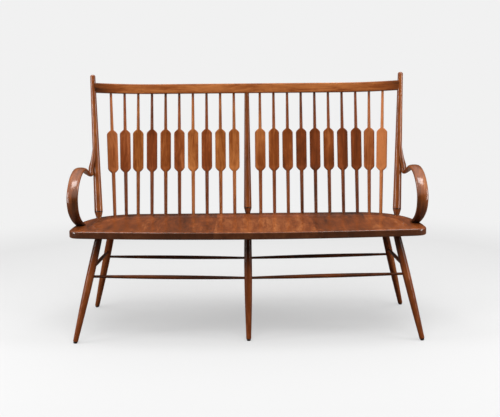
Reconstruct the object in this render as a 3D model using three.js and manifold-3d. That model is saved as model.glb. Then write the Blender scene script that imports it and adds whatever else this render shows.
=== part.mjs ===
// Spindle-back settee in walnut: a saddled plank seat on six raked turned legs,
// paddle spindles under a bent crest rail, and two bent arms.
// Millimetres. X runs along the seat, Y from its front edge to the back, Z up from the floor.

import * as THREE from 'three';
import { mergeVertices } from 'three/addons/utils/BufferGeometryUtils.js';
import Module from 'manifold-3d';

const wasm = await Module();
wasm.setup();

const { degToRad, lerp, clamp, smoothstep } = THREE.MathUtils;

// Seat plank, laid flat and then tilted back
const seatWidth = 1377;
const seatDepth = 492;
const seatThickness = 28;
const seatHeight = 432;
const seatTilt = degToRad(1.9);
const frontBow = 50;
const frontCornerWidth = 40;
const frontCornerDepth = 52;
const rearCornerWidth = 240;
const rearCornerDepth = 384;
const cornerFullnessShare = 0.68;
const seatEdgeRadius = 5;

// Saddling: a flat deck round the sides and the back, a rolled front, and a basin between
const deckWidth = 62;
const frontRollWidth = 20;
const dishSlopeWidth = 96;
const dishDepth = 7;
const dishBendShares = [1 / 3, 0.6];

// Legs, by the places of their feet on the floor and of their tops under the seat,
// measured in from the sides of the seat and back from its front edge, or from its rear one
const frontFootInset = 19.5;
const rearFootInset = 25.5;
const frontLegInset = 113.5;
const rearLegInset = 123.5;
const frontFootBack = 12;
const centreFootBack = 24;
const frontLegBack = 97;
const rearFootPast = 20;
const rearLegForward = 72;
const legTopRadius = 13.5;
const legBellyRadius = 15.3;
const legFootRadius = 9.4;
const legBellyShare = 0.66;
const legTenonShare = 0.42;
const legFootEase = 1;
const legRingShares = [0.03, 0.2, 0.36, 0.52, 0.66, 0.8, 0.92, 1];

// Glides nailed under the feet
const glideRadius = 7.8;
const glideHeight = 6;
const glideDomeHeight = 5;
const glideWear = 1.4;
const glideNailRadius = 1.6;
const glideNailLength = 16;

// Stretchers, by the heights at which they enter the legs
const frontStretcherHeight = 251;
const rearStretcherHeight = 238;
const centreStretcherDrop = 12;
const sideStretcherFrontHeight = 280;
const sideStretcherRearHeight = 261;
const stretcherEndRadius = 4.7;
const stretcherBellyRadius = 8;
const sideStretcherBellyRadius = 7.4;
const stretcherTenonStop = 3;
const stretcherRingShares = [0, 0.03, 0.2, 0.5, 0.8, 0.97, 1];

// Row of spindles and posts along the back of the seat, straight and then forward at both ends
const rowInset = 24;
const rowBendWidth = 168;
const postInset = 67.5;
const postForward = 73;
const postTenonShare = 0.57;

// Outer posts, which lean back and spread, and stand past the top of the rail
const backLean = degToRad(11.2);
const postSplay = 22;
const postPastRail = 34.7;
const postFootRadius = 10.5;
const postSwellRadius = 17.2;
const postTopRadius = 10.6;
const postSwellRise = 25;
const postRingDepth = 0.8;
const postRingWidth = 2;
const postCrownHeight = 4;

// Centre post
const centrePostFootRadius = 9.5;
const centrePostSwellRadius = 16.2;
const centrePostTopRadius = 9.4;
const centrePostTenonRadius = 5.2;

// Crest rail, a board bent forward at both ends
const railRise = 511;
const railSetForward = 16;
const railHeight = 40;
const railThickness = 22;
const railBendWidth = 241;
const railEdgeChamfer = 3;
const railTenonThickness = 9;
const railTenonHeight = 28;
const railTenonPast = 4;
const railTenonRoot = 24;

// Paddle spindles, spaced evenly from the centre and a little closer on the seat's bend
const spindlesPerSide = 10;
const spindlesOnStraight = 8;
const spindleFirst = 55.2;
const seatEndGap = 74.8;
const railEndGap = 74.3;
const bendCloser = 8.6;
const spindleFootRadius = 6.3;
const spindleLowerRadius = 7.1;
const spindleUpperRadius = 6.1;
const spindleTopRadius = 4.9;
const bladeGap = 13.6;
const bladeThickness = 9;
const bladeBottom = 201;
const bladeLength = 140;
const shoulderLength = 20;
const spindleTenonShare = 0.38;
const railSocketShare = 0.4;

// Bent arms, by the height over the seat at which they leave the post
const armWidth = 45.5;
const armThickness = 16;
const armEdgeChamfer = 4;
const armBendRise = 170;
const armTongueLength = 119;
const armArchRise = 34;
const armSpread = 51;
const armFrontBack = 128;
const armBite = 3;
const armDowelRadius = 4.5;
const armDowelLength = 26;

// Wood screws that hold the arms to the posts
const screwHeadRadius = 3.8;
const screwHeadHeight = 3;
const screwShankRadius = 1.8;
const screwSink = 1;
const screwBiteInArm = 5;

// Fits and cutting
const fit = 0.3;
const overrun = 30;
const weldDistance = 0.0005;

// Sides of round work
const legSides = 12;
const postSides = 12;
const stretcherSides = 10;
const spindleSides = 8;
const boreSides = 8;
const smallSides = 8;
const railBendSteps = 8;
const armSteps = 30;
const domeSteps = 3;
const shoulderSteps = 3;
const outlineSteps = { front: 7, corner: 4, rear: 12, back: 3 };

// Finishes
const walnut = { color: 0x7a4526, roughness: 0.32, metalness: 0 };
const walnutLight = { color: 0x9a5a2c, roughness: 0.32, metalness: 0 };
const walnutDark = { color: 0x5c321c, roughness: 0.34, metalness: 0 };
const steel = { color: 0x8b8a86, roughness: 0.4, metalness: 1 };
const blackGlide = { color: 0x2a2625, roughness: 0.5, metalness: 0 };

// Boards of each spindle from the centre outward: light, middle and dark
const boards = { l: walnutLight, m: walnut, d: walnutDark };
const spindleBoards = { left: 'lldlmmdlmm', right: 'llmddmddml' };

// Places that follow the width and height of the seat
const seatSide = seatWidth / 2;
const postSpread = seatSide - postInset;
const rowStraight = postSpread - rowBendWidth;
const railStraight = postSpread - railBendWidth;
const armBendHeight = seatHeight + armBendRise;
const armTipHeight = armBendHeight + armTongueLength;
const armTopHeight = armBendHeight + armArchRise;

// Depths of the round tenons, from the wood that takes them
const legTenon = seatThickness * legTenonShare;
const postTenon = seatThickness * postTenonShare;
const spindleTenon = seatThickness * spindleTenonShare;
const spindleTopTenon = railHeight * railSocketShare;

const vec = (x, y, z) => new THREE.Vector3(x, y, z);
const alongX = vec(1, 0, 0);

// Geometry to solid and back

function toSolid(geometry) {
  const bare = new THREE.BufferGeometry();
  bare.setAttribute('position', geometry.getAttribute('position').clone());
  if (geometry.index) bare.setIndex(geometry.index.clone());
  const merged = mergeVertices(bare, weldDistance);
  const corners = [];
  for (let i = 0; i < merged.index.count; i += 3) {
    const [a, b, c] = [0, 1, 2].map((k) => merged.index.getX(i + k));
    if (a !== b && b !== c && c !== a) corners.push(a, b, c);
  }
  return new wasm.Manifold(new wasm.Mesh({
    numProp: 3,
    vertProperties: new Float32Array(merged.getAttribute('position').array),
    triVerts: new Uint32Array(corners),
  }));
}

function toGeometry(solid) {
  const mesh = solid.getMesh();
  const geometry = new THREE.BufferGeometry();
  geometry.setAttribute('position', new THREE.BufferAttribute(new Float32Array(mesh.vertProperties), 3));
  geometry.setIndex(new THREE.BufferAttribute(new Uint32Array(mesh.triVerts), 1));
  geometry.computeVertexNormals();
  return geometry;
}

// A shape is a geometry and the matrix that places it in the settee

function shape(geometry, place = new THREE.Matrix4()) {
  return { geometry, place };
}

function combine(body, others, operation) {
  const back = body.place.clone().invert();
  let solid = toSolid(body.geometry);
  for (const other of others) {
    const moved = other.geometry.clone().applyMatrix4(other.place).applyMatrix4(back);
    solid = solid[operation](toSolid(moved));
  }
  return shape(toGeometry(solid), body.place);
}

const carve = (body, tools) => combine(body, tools, 'subtract');
const join = (body, others) => combine(body, others, 'add');

// Places a shape with its own Z from one point towards another and its X close to side
function aimed(from, to, side = alongX) {
  const z = to.clone().sub(from).normalize();
  const x = side.clone().addScaledVector(z, -side.dot(z)).normalize();
  const y = z.clone().cross(x);
  return new THREE.Matrix4().makeBasis(x, y, z).setPosition(from);
}

// Turned work: pairs of radius and height from the bottom up, revolved about Z
function turned(profile, sides) {
  const points = profile.map(([radius, height]) => new THREE.Vector2(radius, height));
  const bottom = new THREE.Vector2(0, points[0].y);
  const top = new THREE.Vector2(0, points.at(-1).y);
  return new THREE.LatheGeometry([bottom, ...points, top], sides).rotateX(Math.PI / 2);
}

// Quarter of an oval from its rim up to its tip, as pairs of radius and height
function dome(radius, height, base = 0) {
  const points = [];
  for (let i = 0; i <= domeSteps; i += 1) {
    const turn = (Math.PI / 2) * (i / domeSteps);
    points.push([radius * Math.cos(turn), base + height * Math.sin(turn)]);
  }
  return points;
}

// A bore whose flats clear a round of the given radius by the fit
function bore(from, to, radius) {
  const reach = (radius + fit) / Math.cos(Math.PI / boreSides);
  const length = from.distanceTo(to);
  return shape(turned([[reach, 0], [reach, length]], boreSides), aimed(from, to));
}

// Joins closed rings of equal count into one skin with flat ends
function skin(rings) {
  const count = rings[0].length;
  const index = [];
  for (let r = 0; r < rings.length - 1; r += 1) {
    for (let i = 0; i < count; i += 1) {
      const j = (i + 1) % count;
      const [a, b, c, d] = [r * count + i, r * count + j, (r + 1) * count + j, (r + 1) * count + i];
      index.push(a, b, c, a, c, d);
    }
  }
  const last = (rings.length - 1) * count;
  for (let i = 1; i < count - 1; i += 1) {
    index.push(0, i + 1, i);
    index.push(last, last + i, last + i + 1);
  }
  const geometry = new THREE.BufferGeometry();
  geometry.setFromPoints(rings.flat());
  geometry.setIndex(index);
  return geometry;
}

// A rectangle with its corners cut off, as points round its centre
function chamferedRectangle(width, height, chamfer) {
  const [w, h] = [width / 2, height / 2];
  return [
    [w - chamfer, -h], [w, chamfer - h], [w, h - chamfer], [w - chamfer, h],
    [chamfer - w, h], [-w, h - chamfer], [-w, chamfer - h], [chamfer - w, -h],
  ];
}

// Seat

const seatFrame = new THREE.Matrix4().makeRotationX(-seatTilt).setPosition(0, 0, seatHeight);
const seatPlane = (height) => seatHeight + height / Math.cos(seatTilt);
const onSeat = (x, y) => vec(x, y, seatPlane(0) - y * Math.tan(seatTilt));
const underSeat = (x, y) => vec(x, y, seatPlane(-seatThickness) - y * Math.tan(seatTilt));

function halfOutline() {
  const cornerX = seatSide - frontCornerWidth;
  const frontSlope = (2 * frontBow) / cornerX;
  const sideTop = frontBow + frontCornerDepth;
  const rearX = seatSide - rearCornerWidth;
  const rearStart = seatDepth - rearCornerDepth;
  const front = new THREE.QuadraticBezierCurve(
    new THREE.Vector2(0, 0),
    new THREE.Vector2(cornerX / 2, 0),
    new THREE.Vector2(cornerX, frontBow),
  );
  const corner = new THREE.QuadraticBezierCurve(
    new THREE.Vector2(cornerX, frontBow),
    new THREE.Vector2(seatSide, frontBow + frontSlope * frontCornerWidth),
    new THREE.Vector2(seatSide, sideTop),
  );
  const rear = new THREE.CubicBezierCurve(
    new THREE.Vector2(seatSide, Math.max(rearStart, sideTop)),
    new THREE.Vector2(seatSide, rearStart + cornerFullnessShare * rearCornerDepth),
    new THREE.Vector2(rearX + cornerFullnessShare * rearCornerWidth, seatDepth),
    new THREE.Vector2(rearX, seatDepth),
  );
  const back = new THREE.LineCurve(new THREE.Vector2(rearX, seatDepth), new THREE.Vector2(0, seatDepth));
  return [
    ...front.getPoints(outlineSteps.front),
    ...corner.getPoints(outlineSteps.corner).slice(1),
    ...rear.getPoints(outlineSteps.rear),
    ...back.getPoints(outlineSteps.back).slice(1),
  ].filter((p, i, all) => i === 0 || p.distanceTo(all[i - 1]) > weldDistance);
}

function seatOutline() {
  const half = halfOutline();
  const mirrored = half.slice(1, -1).reverse().map((p) => new THREE.Vector2(-p.x, p.y));
  return [...half, ...mirrored];
}

// Shrinks the outline towards the long middle of the seat by an inset for each point
function insetRing(outline, insets, height) {
  const middle = seatDepth / 2;
  return outline.map((p, i) => {
    const share = insets(i) / middle;
    const spine = p.x * (1 - middle / seatSide);
    return vec(lerp(p.x, spine, share), lerp(p.y, middle, share), height);
  });
}

// How far each outline point belongs to the front edge, from its outward direction
function frontness(outline) {
  return outline.map((p, i) => {
    const before = outline.at(i - 1);
    const after = outline[(i + 1) % outline.length];
    const along = after.clone().sub(before).normalize();
    return smoothstep(along.x, 0, 1);
  });
}

function seatPlank() {
  const outline = seatOutline();
  const front = frontness(outline);
  const band = (i) => lerp(deckWidth, frontRollWidth, front[i]);
  const [bendShare, bendDepthShare] = dishBendShares;
  const edge = (share, height) => {
    const inset = seatEdgeRadius * (1 - Math.sin((share * Math.PI) / 2));
    return insetRing(outline, () => inset, height);
  };
  const drop = seatEdgeRadius * (1 - Math.SQRT1_2);
  const rings = [
    edge(0, -seatThickness),
    edge(0.5, drop - seatThickness),
    edge(1, seatEdgeRadius - seatThickness),
    edge(1, -seatEdgeRadius),
    edge(0.5, -drop),
    edge(0, 0),
    insetRing(outline, band, 0),
    insetRing(outline, (i) => band(i) + dishSlopeWidth * bendShare, -dishDepth * bendDepthShare),
    insetRing(outline, (i) => band(i) + dishSlopeWidth, -dishDepth),
  ];
  return shape(capped(rings), seatFrame);
}

function flatFaces(ring) {
  return THREE.ShapeUtils.triangulateShape(ring.map((p) => new THREE.Vector2(p.x, p.y)), []);
}

// A skin whose two flat ends may be hollow outlines, closed by triangulated faces
function capped(rings) {
  const count = rings[0].length;
  const geometry = skin(rings);
  const sides = geometry.index.array.slice(0, (rings.length - 1) * count * 6);
  const last = (rings.length - 1) * count;
  const index = [...sides];
  for (const [a, b, c] of flatFaces(rings[0])) index.push(a, c, b);
  for (const [a, b, c] of flatFaces(rings.at(-1))) index.push(last + a, last + b, last + c);
  geometry.setIndex(index);
  return geometry;
}

// Legs and glides

function legLine(footX, footY, topX, topY) {
  const foot = vec(footX, footY, 0);
  const top = underSeat(topX, topY);
  return { foot, top, along: top.clone().sub(foot).normalize(), length: top.distanceTo(foot) };
}

const atHeight = (line, height) => line.foot.clone().lerp(line.top, height / line.top.z);

function legRadius(share) {
  const below = Math.sin((Math.PI / 2) * clamp(share / legBellyShare, 0, 1));
  const above = clamp((share - legBellyShare) / (1 - legBellyShare), 0, 1);
  if (above > 0) return lerp(legBellyRadius, legTopRadius, above * above);
  return lerp(legFootRadius, legBellyRadius, below);
}

function leg(line) {
  const profile = [[legFootRadius - legFootEase, glideHeight + fit]];
  for (const share of legRingShares) profile.push([legRadius(share), share * line.length]);
  profile.push([legTopRadius, line.length + legTenon]);
  return shape(turned(profile, legSides), aimed(line.foot, line.top));
}

function legSocket(line) {
  const from = line.top.clone().addScaledVector(line.along, -overrun);
  const to = line.top.clone().addScaledVector(line.along, legTenon + fit);
  return bore(from, to, legTopRadius);
}

function nailSocket(line) {
  const to = line.foot.clone().addScaledVector(line.along, glideHeight + glideNailLength + fit);
  return bore(line.foot, to, glideNailRadius);
}

function glide(line) {
  const belly = dome(glideRadius, -glideDomeHeight, glideDomeHeight - glideWear).reverse();
  const profile = [
    ...belly,
    [glideRadius, glideHeight],
    [glideNailRadius, glideHeight],
    [glideNailRadius, glideHeight + glideNailLength],
  ];
  const floor = new THREE.BoxGeometry(overrun, overrun, overrun);
  const place = new THREE.Matrix4().makeTranslation(line.foot.x, line.foot.y, -overrun / 2);
  return carve(shape(turned(profile, smallSides), aimed(line.foot, line.top)), [shape(floor, place)]);
}

// Stretchers

function stretcherLine(from, to) {
  const along = to.clone().sub(from).normalize();
  const start = from.clone().addScaledVector(along, stretcherTenonStop);
  const end = to.clone().addScaledVector(along, -stretcherTenonStop);
  return { from, to, along, start, end, length: start.distanceTo(end) };
}

function stretcher(line, belly) {
  const profile = stretcherRingShares.map((share) => [
    lerp(stretcherEndRadius, belly, Math.sin(Math.PI * share)),
    share * line.length,
  ]);
  return shape(turned(profile, stretcherSides), aimed(line.start, line.end, vec(0, 0, 1)));
}

// The two sockets that a stretcher needs, one in each leg
function stretcherSockets(line) {
  const reach = legBellyRadius + overrun / 2;
  const near = line.start.clone().addScaledVector(line.along, -fit);
  const far = line.end.clone().addScaledVector(line.along, fit);
  const nearEnd = line.from.clone().addScaledVector(line.along, reach);
  const farEnd = line.to.clone().addScaledVector(line.along, -reach);
  const radius = stretcherEndRadius + fit;
  return [bore(near, nearEnd, radius), bore(far, farEnd, radius)];
}

// The back leans as one: its frame stands on the spindle row, Z along the lean

const rowBack = seatDepth - rowInset;
const backOrigin = onSeat(0, rowBack);
const backFrame = new THREE.Matrix4().makeRotationX(-backLean).setPosition(backOrigin);

// Row of feet on the seat: straight, then forward to the outer posts
class SeatRow extends THREE.Curve {
  getPoint(t) {
    const x = t * postSpread;
    const past = Math.max(0, x - rowStraight) / (postSpread - rowStraight);
    return onSeat(x, rowBack - postForward * past * past);
  }
}
const seatRow = new SeatRow();

// Outer post line, leaning back with the frame and spreading upward
const toBack = backFrame.clone().invert();
const postFoot = seatRow.getPoint(1);
const postFootBack = postFoot.clone().applyMatrix4(toBack);
const postTopBack = vec(postSpread + postSplay, postFootBack.y, railRise + railHeight + postPastRail);
const postTop = postTopBack.clone().applyMatrix4(backFrame);
const postAlong = postTop.clone().sub(postFoot).normalize();
const postLength = postTop.distanceTo(postFoot);
const postAt = (height) => postFoot.clone().lerp(postTop, (height - postFoot.z) / (postTop.z - postFoot.z));

function postRadius(height) {
  const rise = (height - postFoot.z) / postAlong.z;
  const share = clamp((rise - postSwellRise) / (postLength - postSwellRise), 0, 1);
  return lerp(postSwellRadius, postTopRadius, share);
}

function postProfile(extra) {
  return [
    [postFootRadius, -postTenon],
    [postFootRadius, 0],
    [postSwellRadius, postSwellRise],
    [postSwellRadius - postRingDepth, postSwellRise + postRingWidth / 2],
    [postSwellRadius, postSwellRise + postRingWidth],
    ...dome(postTopRadius, postCrownHeight, postLength - postCrownHeight),
  ].map(([radius, height]) => [radius + extra, height]);
}

const mirror = (point, side) => vec(point.x * side, point.y, point.z);

function outerPost(side, extra = 0) {
  return shape(turned(postProfile(extra), postSides), aimed(mirror(postFoot, side), mirror(postTop, side)));
}

// Rail curve at the height of its lower edge, in the frame of the back
const railMiddleHeight = railRise + railHeight / 2;
const postAtRail = postFootBack.clone().lerp(
  postTopBack,
  (railMiddleHeight - postFootBack.z) / (postTopBack.z - postFootBack.z),
);

class RailRow extends THREE.Curve {
  getPoint(t) {
    const x = t * postAtRail.x;
    const past = Math.max(0, x - railStraight) / (postAtRail.x - railStraight);
    return vec(x, lerp(-railSetForward, postAtRail.y, past * past), railRise);
  }
}
const railRow = new RailRow();
const onRail = (distance) => railRow.getPointAt(distance / railRow.getLength());

// Section of the rail at a share of its half length, negative on the left
function railSection(share) {
  const t = Math.abs(share);
  const side = Math.sign(share) || 1;
  const centre = mirror(railRow.getPoint(t), side);
  const tangent = railRow.getTangent(t);
  const across = vec(-tangent.y * side, tangent.x, 0).normalize();
  const outline = chamferedRectangle(railThickness, railHeight, railEdgeChamfer);
  return outline.map(([depth, height]) => vec(
    centre.x + across.x * depth,
    centre.y + across.y * depth,
    railMiddleHeight + height,
  ));
}

function railBlank() {
  const bendStart = railStraight / postAtRail.x;
  const bendShares = [];
  for (let i = 0; i <= railBendSteps; i += 1) bendShares.push(lerp(bendStart, 1, i / railBendSteps));
  const shares = [...bendShares.map((share) => -share).reverse(), 0, ...bendShares];
  return shape(skin(shares.map(railSection)), backFrame);
}

// Rectangular tenon at each end of the rail, and the mortise that takes it
function railTenon(side, room) {
  const tangent = railRow.getTangent(1);
  const turn = Math.atan2(tangent.y, tangent.x) * side;
  const length = railTenonRoot + railTenonPast + room + (room > 0 ? overrun : 0);
  const block = new THREE.BoxGeometry(length, railTenonThickness + 2 * room, railTenonHeight + 2 * room);
  block.translate(((railTenonPast + room) - length / 2) * side, 0, 0);
  const place = new THREE.Matrix4().makeRotationZ(turn);
  place.setPosition(postAtRail.x * side, postAtRail.y, railMiddleHeight);
  return shape(block, backFrame.clone().multiply(place));
}

// Spacing of the spindles along the seat and along the rail
const spindleSteps = spindlesPerSide - 1;
const closerSteps = spindlesPerSide - spindlesOnStraight;
const seatRun = seatRow.getLength() - spindleFirst - seatEndGap;
const railRun = railRow.getLength() - spindleFirst - railEndGap;
const seatPitch = (seatRun + closerSteps * bendCloser) / spindleSteps;
const railPitch = railRun / spindleSteps;
const bladeWidth = seatPitch - bladeGap;

function spindleLines() {
  const lines = [];
  for (let i = 0; i < spindlesPerSide; i += 1) {
    const closer = Math.max(0, i + 1 - spindlesOnStraight) * bendCloser;
    const seatWalk = spindleFirst + i * seatPitch - closer;
    const bottom = seatRow.getPointAt(seatWalk / seatRow.getLength());
    const railWalk = spindleFirst + i * railPitch;
    const top = onRail(railWalk).applyMatrix4(backFrame);
    const tangent = railRow.getTangentAt(railWalk / railRow.getLength()).transformDirection(backFrame);
    lines.push({ bottom, top, tangent });
  }
  return lines;
}

// Shoulder that widens a round shaft into the blade, as heights and half sizes
function shoulderLevels(shaftRadius, from, to) {
  const levels = [];
  for (let i = 0; i <= shoulderSteps; i += 1) {
    const share = i / shoulderSteps;
    const swell = Math.sin((share * Math.PI) / 2);
    levels.push([
      lerp(from, to, share),
      lerp(shaftRadius * spindleFlatShare, bladeWidth / 2, swell),
      lerp(shaftRadius * spindleFlatShare, bladeThickness / 2, share),
    ]);
  }
  return levels;
}

// One spindle: round shafts, and a flat blade between sloping shoulders
function spindleRings(length) {
  const bladeTop = bladeBottom + bladeLength;
  const shaft = (height, radius) => [height, radius * spindleFlatShare, radius * spindleFlatShare];
  const levels = [
    shaft(-spindleTenon, spindleFootRadius),
    shaft(0, spindleFootRadius),
    ...shoulderLevels(spindleLowerRadius, bladeBottom - shoulderLength, bladeBottom),
    ...shoulderLevels(spindleUpperRadius, bladeTop + shoulderLength, bladeTop).reverse(),
    shaft(length, spindleTopRadius),
    shaft(length + spindleTopTenon, spindleTopRadius),
  ];
  return levels.map(([height, halfWidth, halfDepth]) => spindleSection(halfWidth, halfDepth, height));
}

// An octagon that is regular when round and keeps narrow chamfers when flat
const spindleFlatShare = Math.cos(Math.PI / spindleSides);
const spindleCornerShare = 1 - Math.tan(Math.PI / spindleSides);

function spindleSection(halfWidth, halfDepth, height) {
  const corner = Math.min(halfWidth, halfDepth) * spindleCornerShare;
  return chamferedRectangle(halfWidth * 2, halfDepth * 2, corner).map(([x, y]) => vec(x, y, height));
}

function spindle(line, side) {
  const bottom = mirror(line.bottom, side);
  const top = mirror(line.top, side);
  const tangent = vec(line.tangent.x, line.tangent.y * side, line.tangent.z * side);
  return shape(skin(spindleRings(bottom.distanceTo(top))), aimed(bottom, top, tangent));
}

function spindleSockets(line, side, footRadius, topRadius) {
  const bottom = mirror(line.bottom, side);
  const top = mirror(line.top, side);
  const along = top.clone().sub(bottom).normalize();
  const at = (point, distance) => point.clone().addScaledVector(along, distance);
  return {
    seat: bore(at(bottom, -spindleTenon - fit), at(bottom, overrun), footRadius),
    rail: bore(at(top, spindleTopTenon + fit), at(top, -overrun), topRadius),
  };
}

const centreLine = { bottom: backOrigin, top: vec(0, -railSetForward, railRise).applyMatrix4(backFrame) };

function centrePost() {
  const length = centreLine.bottom.distanceTo(centreLine.top);
  const profile = [
    [centrePostFootRadius, -spindleTenon],
    [centrePostFootRadius, 0],
    [centrePostSwellRadius, postSwellRise],
    [centrePostSwellRadius - postRingDepth, postSwellRise + postRingWidth / 2],
    [centrePostSwellRadius, postSwellRise + postRingWidth],
    [centrePostTopRadius, length - fit],
    [centrePostTenonRadius, length - fit],
    [centrePostTenonRadius, length + spindleTopTenon],
  ];
  return shape(turned(profile, postSides), aimed(centreLine.bottom, centreLine.top));
}

// Arms

// Tongue of the arm down the post: height share, turn from the side to the front, bite share,
// width and thickness shares, and turn of the ribbon in plan as a share of a right angle
const tongueShares = [
  [0.0, 0.74, 0.85, 0.24, 0.5, 0.2],
  [0.34, 0.68, 0.25, 0.34, 0.9, 0.25],
  [0.6, 0.54, 0.1, 0.42, 1.0, 0.32],
  [0.83, 0.26, 0.0, 0.44, 1.0, 0.4],
];

// Free part of the arm: spread, reach and rise shares, width and thickness shares, turn as above
const sweepShares = [
  [0.46, 0.05, 0.828, 0.43, 1.0, 0.36],
  [0.6, 0.17, 0.885, 0.55, 1.0, 0.28],
  [0.73, 0.31, 0.96, 0.79, 1.0, 0.22],
  [0.86, 0.47, 1.0, 0.97, 1.0, 0.16],
  [0.96, 0.68, 0.93, 1.0, 1.0, 0.12],
  [1.0, 0.88, 0.755, 1.0, 1.0, 0.1],
  [0.99, 0.99, 0.55, 1.0, 1.0, 0.08],
  [0.91, 0.98, 0.32, 0.95, 1.0, 0.05],
  [0.74, 0.89, 0.135, 0.86, 1.0, 0.02],
  [0.6, 0.76, 0.0, 0.8, 1.0, 0],
  [0.47, 0.68, -0.07, 0.8, 1.0, 0],
];

const armRoot = postAt(armBendHeight);
const armReach = armRoot.y - armFrontBack;
const armSeat = onSeat(postSpread, armFrontBack).z;
const armRise = armTopHeight - armSeat;

function tongueStation([heightShare, turnShare, biteShare, widthShare, thicknessShare, twistShare]) {
  const height = lerp(armTipHeight, armBendHeight, heightShare);
  const turn = (turnShare * Math.PI) / 2;
  const thickness = armThickness * thicknessShare;
  const bite = lerp(armBite, thickness, biteShare);
  const offset = postRadius(height) + thickness / 2 - bite;
  const centre = postAt(height).add(vec(Math.cos(turn) * offset, -Math.sin(turn) * offset, 0));
  return { centre, size: vec(armWidth * widthShare, thickness, (twistShare * Math.PI) / 2) };
}

function sweepStation([spreadShare, reachShare, riseShare, widthShare, thicknessShare, twistShare]) {
  const centre = vec(
    armRoot.x + spreadShare * armSpread,
    armRoot.y - reachShare * armReach,
    armSeat + riseShare * armRise,
  );
  const turn = (twistShare * Math.PI) / 2;
  return { centre, size: vec(armWidth * widthShare, armThickness * thicknessShare, turn) };
}

const armStations = [...tongueShares.map(tongueStation), ...sweepShares.map(sweepStation)];
const armPath = new THREE.CatmullRomCurve3(armStations.map((s) => s.centre));
const armSizes = new THREE.CatmullRomCurve3(armStations.map((s) => s.size));

function armSection(t, side) {
  const centre = armPath.getPoint(t);
  const along = armPath.getTangent(t);
  const size = armSizes.getPoint(t);
  const level = vec(Math.cos(size.z), Math.sin(size.z), 0);
  const across = level.addScaledVector(along, -level.dot(along)).normalize();
  const out = along.clone().cross(across);
  const chamfer = Math.min(armEdgeChamfer, size.y / 3);
  return chamferedRectangle(size.x, size.y, chamfer).map(([w, d]) => {
    const point = centre.clone().addScaledVector(across, w).addScaledVector(out, d);
    return mirror(point, side);
  });
}

const armFoot = armStations.at(-2).centre;
const armFootAlong = armFoot.clone().sub(armStations.at(-1).centre).normalize();

function armBlank(side) {
  const rings = [];
  for (let i = 0; i <= armSteps; i += 1) rings.push(armSection(i / armSteps, side));
  if (side < 0) rings.forEach((ring) => ring.reverse());
  return shape(skin(rings));
}

// Everything below the seat top, as a block round the arm's foot
function belowSeat(side) {
  const block = new THREE.BoxGeometry(armWidth * 3, armWidth * 3, overrun * 2);
  block.translate(0, 0, fit - overrun);
  const place = new THREE.Matrix4().makeRotationX(-seatTilt);
  const foot = onSeat(armFoot.x, armFoot.y);
  place.setPosition(foot.x * side, foot.y, foot.z);
  return shape(block, place);
}

function dowelLine(side) {
  const middle = mirror(onSeat(armFoot.x, armFoot.y), side);
  const along = mirror(armFootAlong, side);
  return {
    start: middle.clone().addScaledVector(along, -armDowelLength / 2),
    end: middle.clone().addScaledVector(along, armDowelLength / 2),
    along,
  };
}

function armDowel(side) {
  const line = dowelLine(side);
  const profile = [[armDowelRadius, 0], [armDowelRadius, armDowelLength]];
  return shape(turned(profile, boreSides), aimed(line.start, line.end));
}

function dowelSocket(side) {
  const line = dowelLine(side);
  const start = line.start.clone().addScaledVector(line.along, -fit);
  const end = line.end.clone().addScaledVector(line.along, fit);
  return bore(start, end, armDowelRadius);
}

// Screws run from the back of the post into the tongue, at two of its stations
const screwStations = tongueShares.slice(1, 3);

function screwLine([heightShare, turnShare], side) {
  const height = lerp(armTipHeight, armBendHeight, heightShare);
  const turn = (turnShare * Math.PI) / 2;
  const out = vec(Math.cos(turn), -Math.sin(turn), 0);
  const radius = postRadius(height);
  const head = postAt(height).addScaledVector(out, screwSink - radius);
  const point = postAt(height).addScaledVector(out, radius + screwBiteInArm);
  return { head: mirror(head, side), point: mirror(point, side), length: head.distanceTo(point) };
}

function screw(line) {
  const profile = [
    [screwHeadRadius, 0],
    [screwHeadRadius, screwHeadHeight / 3],
    [screwShankRadius, screwHeadHeight],
    [screwShankRadius, line.length],
  ];
  return shape(turned(profile, smallSides), aimed(line.head, line.point, vec(0, 0, 1)));
}

function screwHoles(line) {
  const along = line.point.clone().sub(line.head).normalize();
  const at = (point, distance) => point.clone().addScaledVector(along, distance);
  return [
    bore(line.head, at(line.point, fit), screwShankRadius),
    bore(at(line.head, -overrun), at(line.head, screwHeadHeight + fit), screwHeadRadius),
  ];
}

// Assembly

const settee = new THREE.Group();

function add(name, body, finish) {
  const mesh = new THREE.Mesh(body.geometry, new THREE.MeshStandardMaterial(finish));
  mesh.name = name;
  mesh.applyMatrix4(body.place);
  settee.add(mesh);
}

const places = { left: -1, centre: 0, right: 1 };
const sides = { left: -1, right: 1 };

function legLines() {
  const lines = {};
  const spread = (inset, side) => (seatSide - inset) * side;
  for (const [name, side] of Object.entries(places)) {
    const footBack = side ? frontFootBack : centreFootBack;
    const [frontFoot, frontLeg] = [frontFootInset, frontLegInset].map((inset) => spread(inset, side));
    const [rearFoot, rearLeg] = [rearFootInset, rearLegInset].map((inset) => spread(inset, side));
    const [rearFootBack, rearLegBack] = [seatDepth + rearFootPast, seatDepth - rearLegForward];
    lines[`front_leg_${name}`] = legLine(frontFoot, footBack, frontLeg, frontLegBack);
    lines[`rear_leg_${name}`] = legLine(rearFoot, rearFootBack, rearLeg, rearLegBack);
  }
  return lines;
}

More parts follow.
